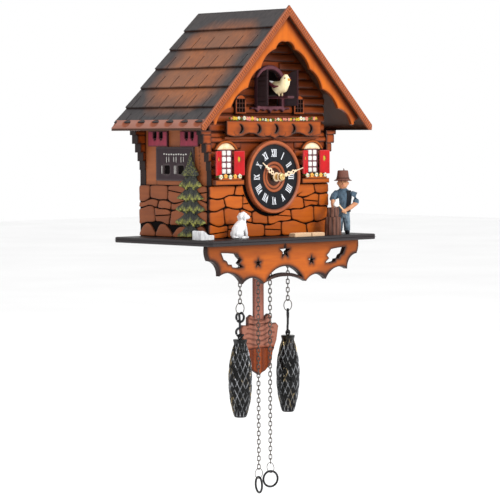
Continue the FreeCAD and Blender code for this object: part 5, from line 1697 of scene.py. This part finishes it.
def bark(pile, x, y, low, high, radius, taper, ridges, seed):
    """A round of timber with furrowed bark and a lighter sawn top."""
    count = 72
    angles = np.linspace(0, 2 * math.pi, count, endpoint=False)
    furrow = 0.35 * np.sin(ridges * angles + seed) + 0.25 * np.sin(2.3 * ridges * angles + 1.7 * seed)
    rings, burns = [], []
    steps = 14
    for i in range(steps + 1):
        share = i / steps
        twist = 0.3 * np.sin(angles * 5 + share * 6 + seed)
        size = radius + (taper - radius) * share + (furrow + twist) * 0.7
        z = low + (high - low) * share
        rings.append(np.stack([x + size * np.cos(angles), y + size * np.sin(angles), np.full(count, z)], 1))
        burns.append(np.clip(0.45 - furrow, 0, 0.9))
    for size, burn in ((0.9, 0.1), (0.55, 0.35), (0.3, 0.05), (0.1, 0.3)):
        rings.append(np.stack([x + taper * size * np.cos(angles), y + taper * size * np.sin(angles),
                               np.full(count, high)], 1))
        burns.append(np.full(count, burn))
    points, faces = loft(rings)
    pile.add(points, faces, burn=np.concatenate(burns + [np.zeros(2)]))


def falling_rim(points):
    """The trough's rim is higher at its left end."""
    share = np.clip((points[:, 0] + 95) / 8, 0, 1)
    return 4.2 * share * share * (3 - 2 * share), np.zeros(len(points))


BLOCK = (62.5, -115.5)


def firewood_and_trough():
    """The chopping block with a log on it, two planks and the trough."""
    yard = Pile()
    bark(yard, *BLOCK, PLATE_TOP, 21.4, 7.5, 6.9, 11, 0.4)
    bark(yard, *BLOCK, 21.5, 30.3, 5.4, 5.1, 8, 2.1)
    yard.piece("chopping_block", "bark", stands_for="firewood_and_trough", smooth=True)
    boards = Pile()
    for x0, x1, y0, y1, top in ((3, 24, -126, -118, 8.5), (24.3, 40.2, -127, -119.5, 8.3)):
        board(boards, [rectangle(x0, x1, y0, y1, 0.4)], top, PLATE_TOP + 0.05, axis=2, spacing=1.5, reach=1.0,
              strength=0.4, soften=0.5)
    boards.piece("loose_planks", "plank", node="firewood_and_trough")
    trough = Pile()
    outer = rectangle(-98, -82, -110, -98, 0.8)
    inner = rectangle(-96.5, -83.5, -108.5, -99.5, 0.6)
    board(trough, [outer, inner], 13.2, PLATE_TOP + 0.05, axis=2, spacing=1.2, reach=0.8, strength=0.2,
          soften=0.5,
          carve=falling_rim)
    board(trough, [inner], PLATE_TOP + 2, PLATE_TOP + 0.1, axis=2, spacing=2, strength=0.1)
    trough.piece("animal_trough", "dog_white", node="firewood_and_trough")


def dog():
    """A white dog that sits on its haunches."""
    # The dog sits facing right, on its haunches.
    spine_y = -112.0

    def pair(form):
        """The same form on both sides of the dog's middle."""
        return [form(lambda x, away, z, side=side: (x, spine_y + side * away, z)) for side in (-1, 1)]

    figure("dog_body", "dog_white", [
        limb([(-58.6, spine_y, 8.4), (-56.6, spine_y, 11.6), (-53.2, spine_y, 15.4), (-50.4, spine_y, 19.2),
              (-49.2, spine_y, 22.6)], (3.4, 5.4, 5.4, 4.4, 3.3), 24),
        limb([(-50.8, spine_y, 24.6), (-48.4, spine_y, 25.4), (-45.6, spine_y, 24.6), (-42.4, -112.2, 23.8)],
             (3.6, 3.9, 2.9, 1.6), 20),
        *pair(lambda at: blob(at(-56.4, 3.4, 9.2), (4.6, 2.6, 4.2))),
        *pair(lambda at: limb([at(-54.5, 4.2, 6.2), at(-51.0, 4.2, 6.1), at(-49.4, 4.2, 6.1)],
                              (1.3, 1.3, 1.1), 12)),
        *pair(lambda at: limb([at(-49.2, 2.2, 16), at(-47.4, 2.4, 10), at(-47.2, 2.4, 6.4)],
                              (2.0, 1.5, 1.4), 14)),
        *pair(lambda at: limb([at(-47.6, 2.4, 6.2), at(-45.4, 2.4, 6.1)], (1.4, 1.2), 12)),
        *pair(lambda at: limb([at(-49.6, 3.4, 27.4), at(-50.6, 4.2, 24.4), at(-50.4, 4.0, 21.8)],
                              (1.0, 1.5, 0.9), 12)),
        limb([(-60.4, spine_y, 6.8), (-61.2, -114, 6.6), (-59.6, -116.4, 6.4)], (1.5, 1.2, 0.7), 12),
    ], stands_for="dog", node="dog")
    figure("dog_features", "vest", [
        blob((-40.9, -112.2, 24.3), (0.8, 0.9, 0.7), count=10),
        blob((-45.4, -114.4, 26.6), (0.5, 0.4, 0.5), count=10),
        blob((-45.4, -109.8, 26.6), (0.5, 0.4, 0.5), count=10),
    ], node="dog")


# --- finishes on the CAD parts that stay ----------------------------------------------------

KEPT = {
    "back_panel": "back", "hanger_plate": "steel", "case_screws": "brass",
    "movement_front_shell": "black_plastic",
    "movement_rear_shell": "black_plastic", "battery_door": "black_plastic", "batteries": "battery",
    "battery_contacts": "steel", "circuit_board": "board", "speaker": "steel",
    "night_switch": "white_plastic",
    "drive_coils": "copper", "bird_motor": "white_plastic", "minute_wheel": "white_plastic",
    "hour_wheel": "brass",
    "chain_rod": "steel", "pendulum_magnet": "steel",
}


def kept_finishes():
    """Materials for the CAD parts that stay."""
    for node, look in KEPT.items():
        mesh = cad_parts[node].data
        mesh.materials.clear()
        mesh.materials.append(LOOK[look])


# --- floor, camera and light ----------------------------------------------------------------

def studio_floor():
    """A plain pale floor just below the lowest ring."""
    floor_mesh = bpy.data.meshes.new("studio_floor")
    half = 6.0
    floor_mesh.from_pydata([(-half, -half, 0), (half, -half, 0), (half, half, 0), (-half, half, 0)], [],
                           [(0, 1, 2, 3)])
    floor = bpy.data.objects.new("studio_floor", floor_mesh)
    floor.location.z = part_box("left_pull_ring")[0][2] - 0.03
    n = Nodes("studio_floor", 0.85)
    pale = n.ramp(n.noise(3, 2, 0.5), [(0.3, (0.92, 0.92, 0.92)), (0.7, (0.96, 0.96, 0.96))])
    n.link(pale, n.shader.inputs["Base Color"])
    floor_mesh.materials.append(n.material)
    bpy.context.scene.collection.objects.link(floor)


def view_camera():
    """The camera, at its viewing angle."""
    camera = bpy.data.objects.new("camera", bpy.data.cameras.new("camera"))
    camera.location = (-1.4651, -1.6127, FLOOR + 0.0996)
    yaw, pitch, roll = math.radians(43.51), math.radians(-2.91), math.radians(-0.2)
    ahead = Vector((math.sin(yaw) * math.cos(pitch), math.cos(yaw) * math.cos(pitch), math.sin(pitch)))
    camera.rotation_mode = "QUATERNION"
    camera.rotation_quaternion = ahead.to_track_quat("-Z", "Y") @ Matrix.Rotation(roll, 3,
                                                                                  "Z").to_quaternion()
    camera.data.lens, camera.data.sensor_width, camera.data.clip_start = 165.7, 36, 0.05
    bpy.context.scene.collection.objects.link(camera)
    bpy.context.scene.camera = camera


def lamp(name, place_at, power, size):
    """A soft square light aimed at the clock's middle."""
    light = bpy.data.lights.new(name, "AREA")
    light.energy, light.size = power, size
    holder = bpy.data.objects.new(name, light)
    holder.location = place_at
    holder.rotation_euler = (Vector((0, -0.06, -0.1)) - Vector(place_at)).to_track_quat("-Z", "Y").to_euler()
    bpy.context.scene.collection.objects.link(holder)


def lights():
    """Soft lamps in front of a plain white world."""
    lamp("key", (0.3, -1.9, 0.9), 34, 0.9)
    lamp("fill", (-2.2, -0.6, 0.5), 6, 1.4)
    lamp("top", (-0.7, -0.2, 1.7), 6, 1.0)
    world = bpy.data.worlds.new("studio")
    world.use_nodes = True
    backdrop = world.node_tree.nodes["Background"]
    backdrop.inputs["Color"].default_value = (1, 1, 1, 1)
    backdrop.inputs["Strength"].default_value = 1.0
    bpy.context.scene.world = world
    bpy.context.scene.view_settings.view_transform = "Standard"


# --- everything in order; the random draws depend on it

front_masonry()
side_masonry()
front_log_wall()
side_plank_walls()
roof_slopes()
gable_edges()
corner_log_ends()
fretwork_bracket()
base_board()
balcony_board()
front_windows()
front_shutters()
window_boxes_and_garland()
side_windows()
side_firs()
dial()
roman_numerals()
hands_and_arbor()
bird_doorway()
cuckoo()
pendulum_stick()
pendulum_bob()
weights()
pull_chains()
woodcutter()
axe_arm()
firewood_and_trough()
dog()
kept_finishes()
studio_floor()
view_camera()
lights()

bpy.context.view_layer.update()
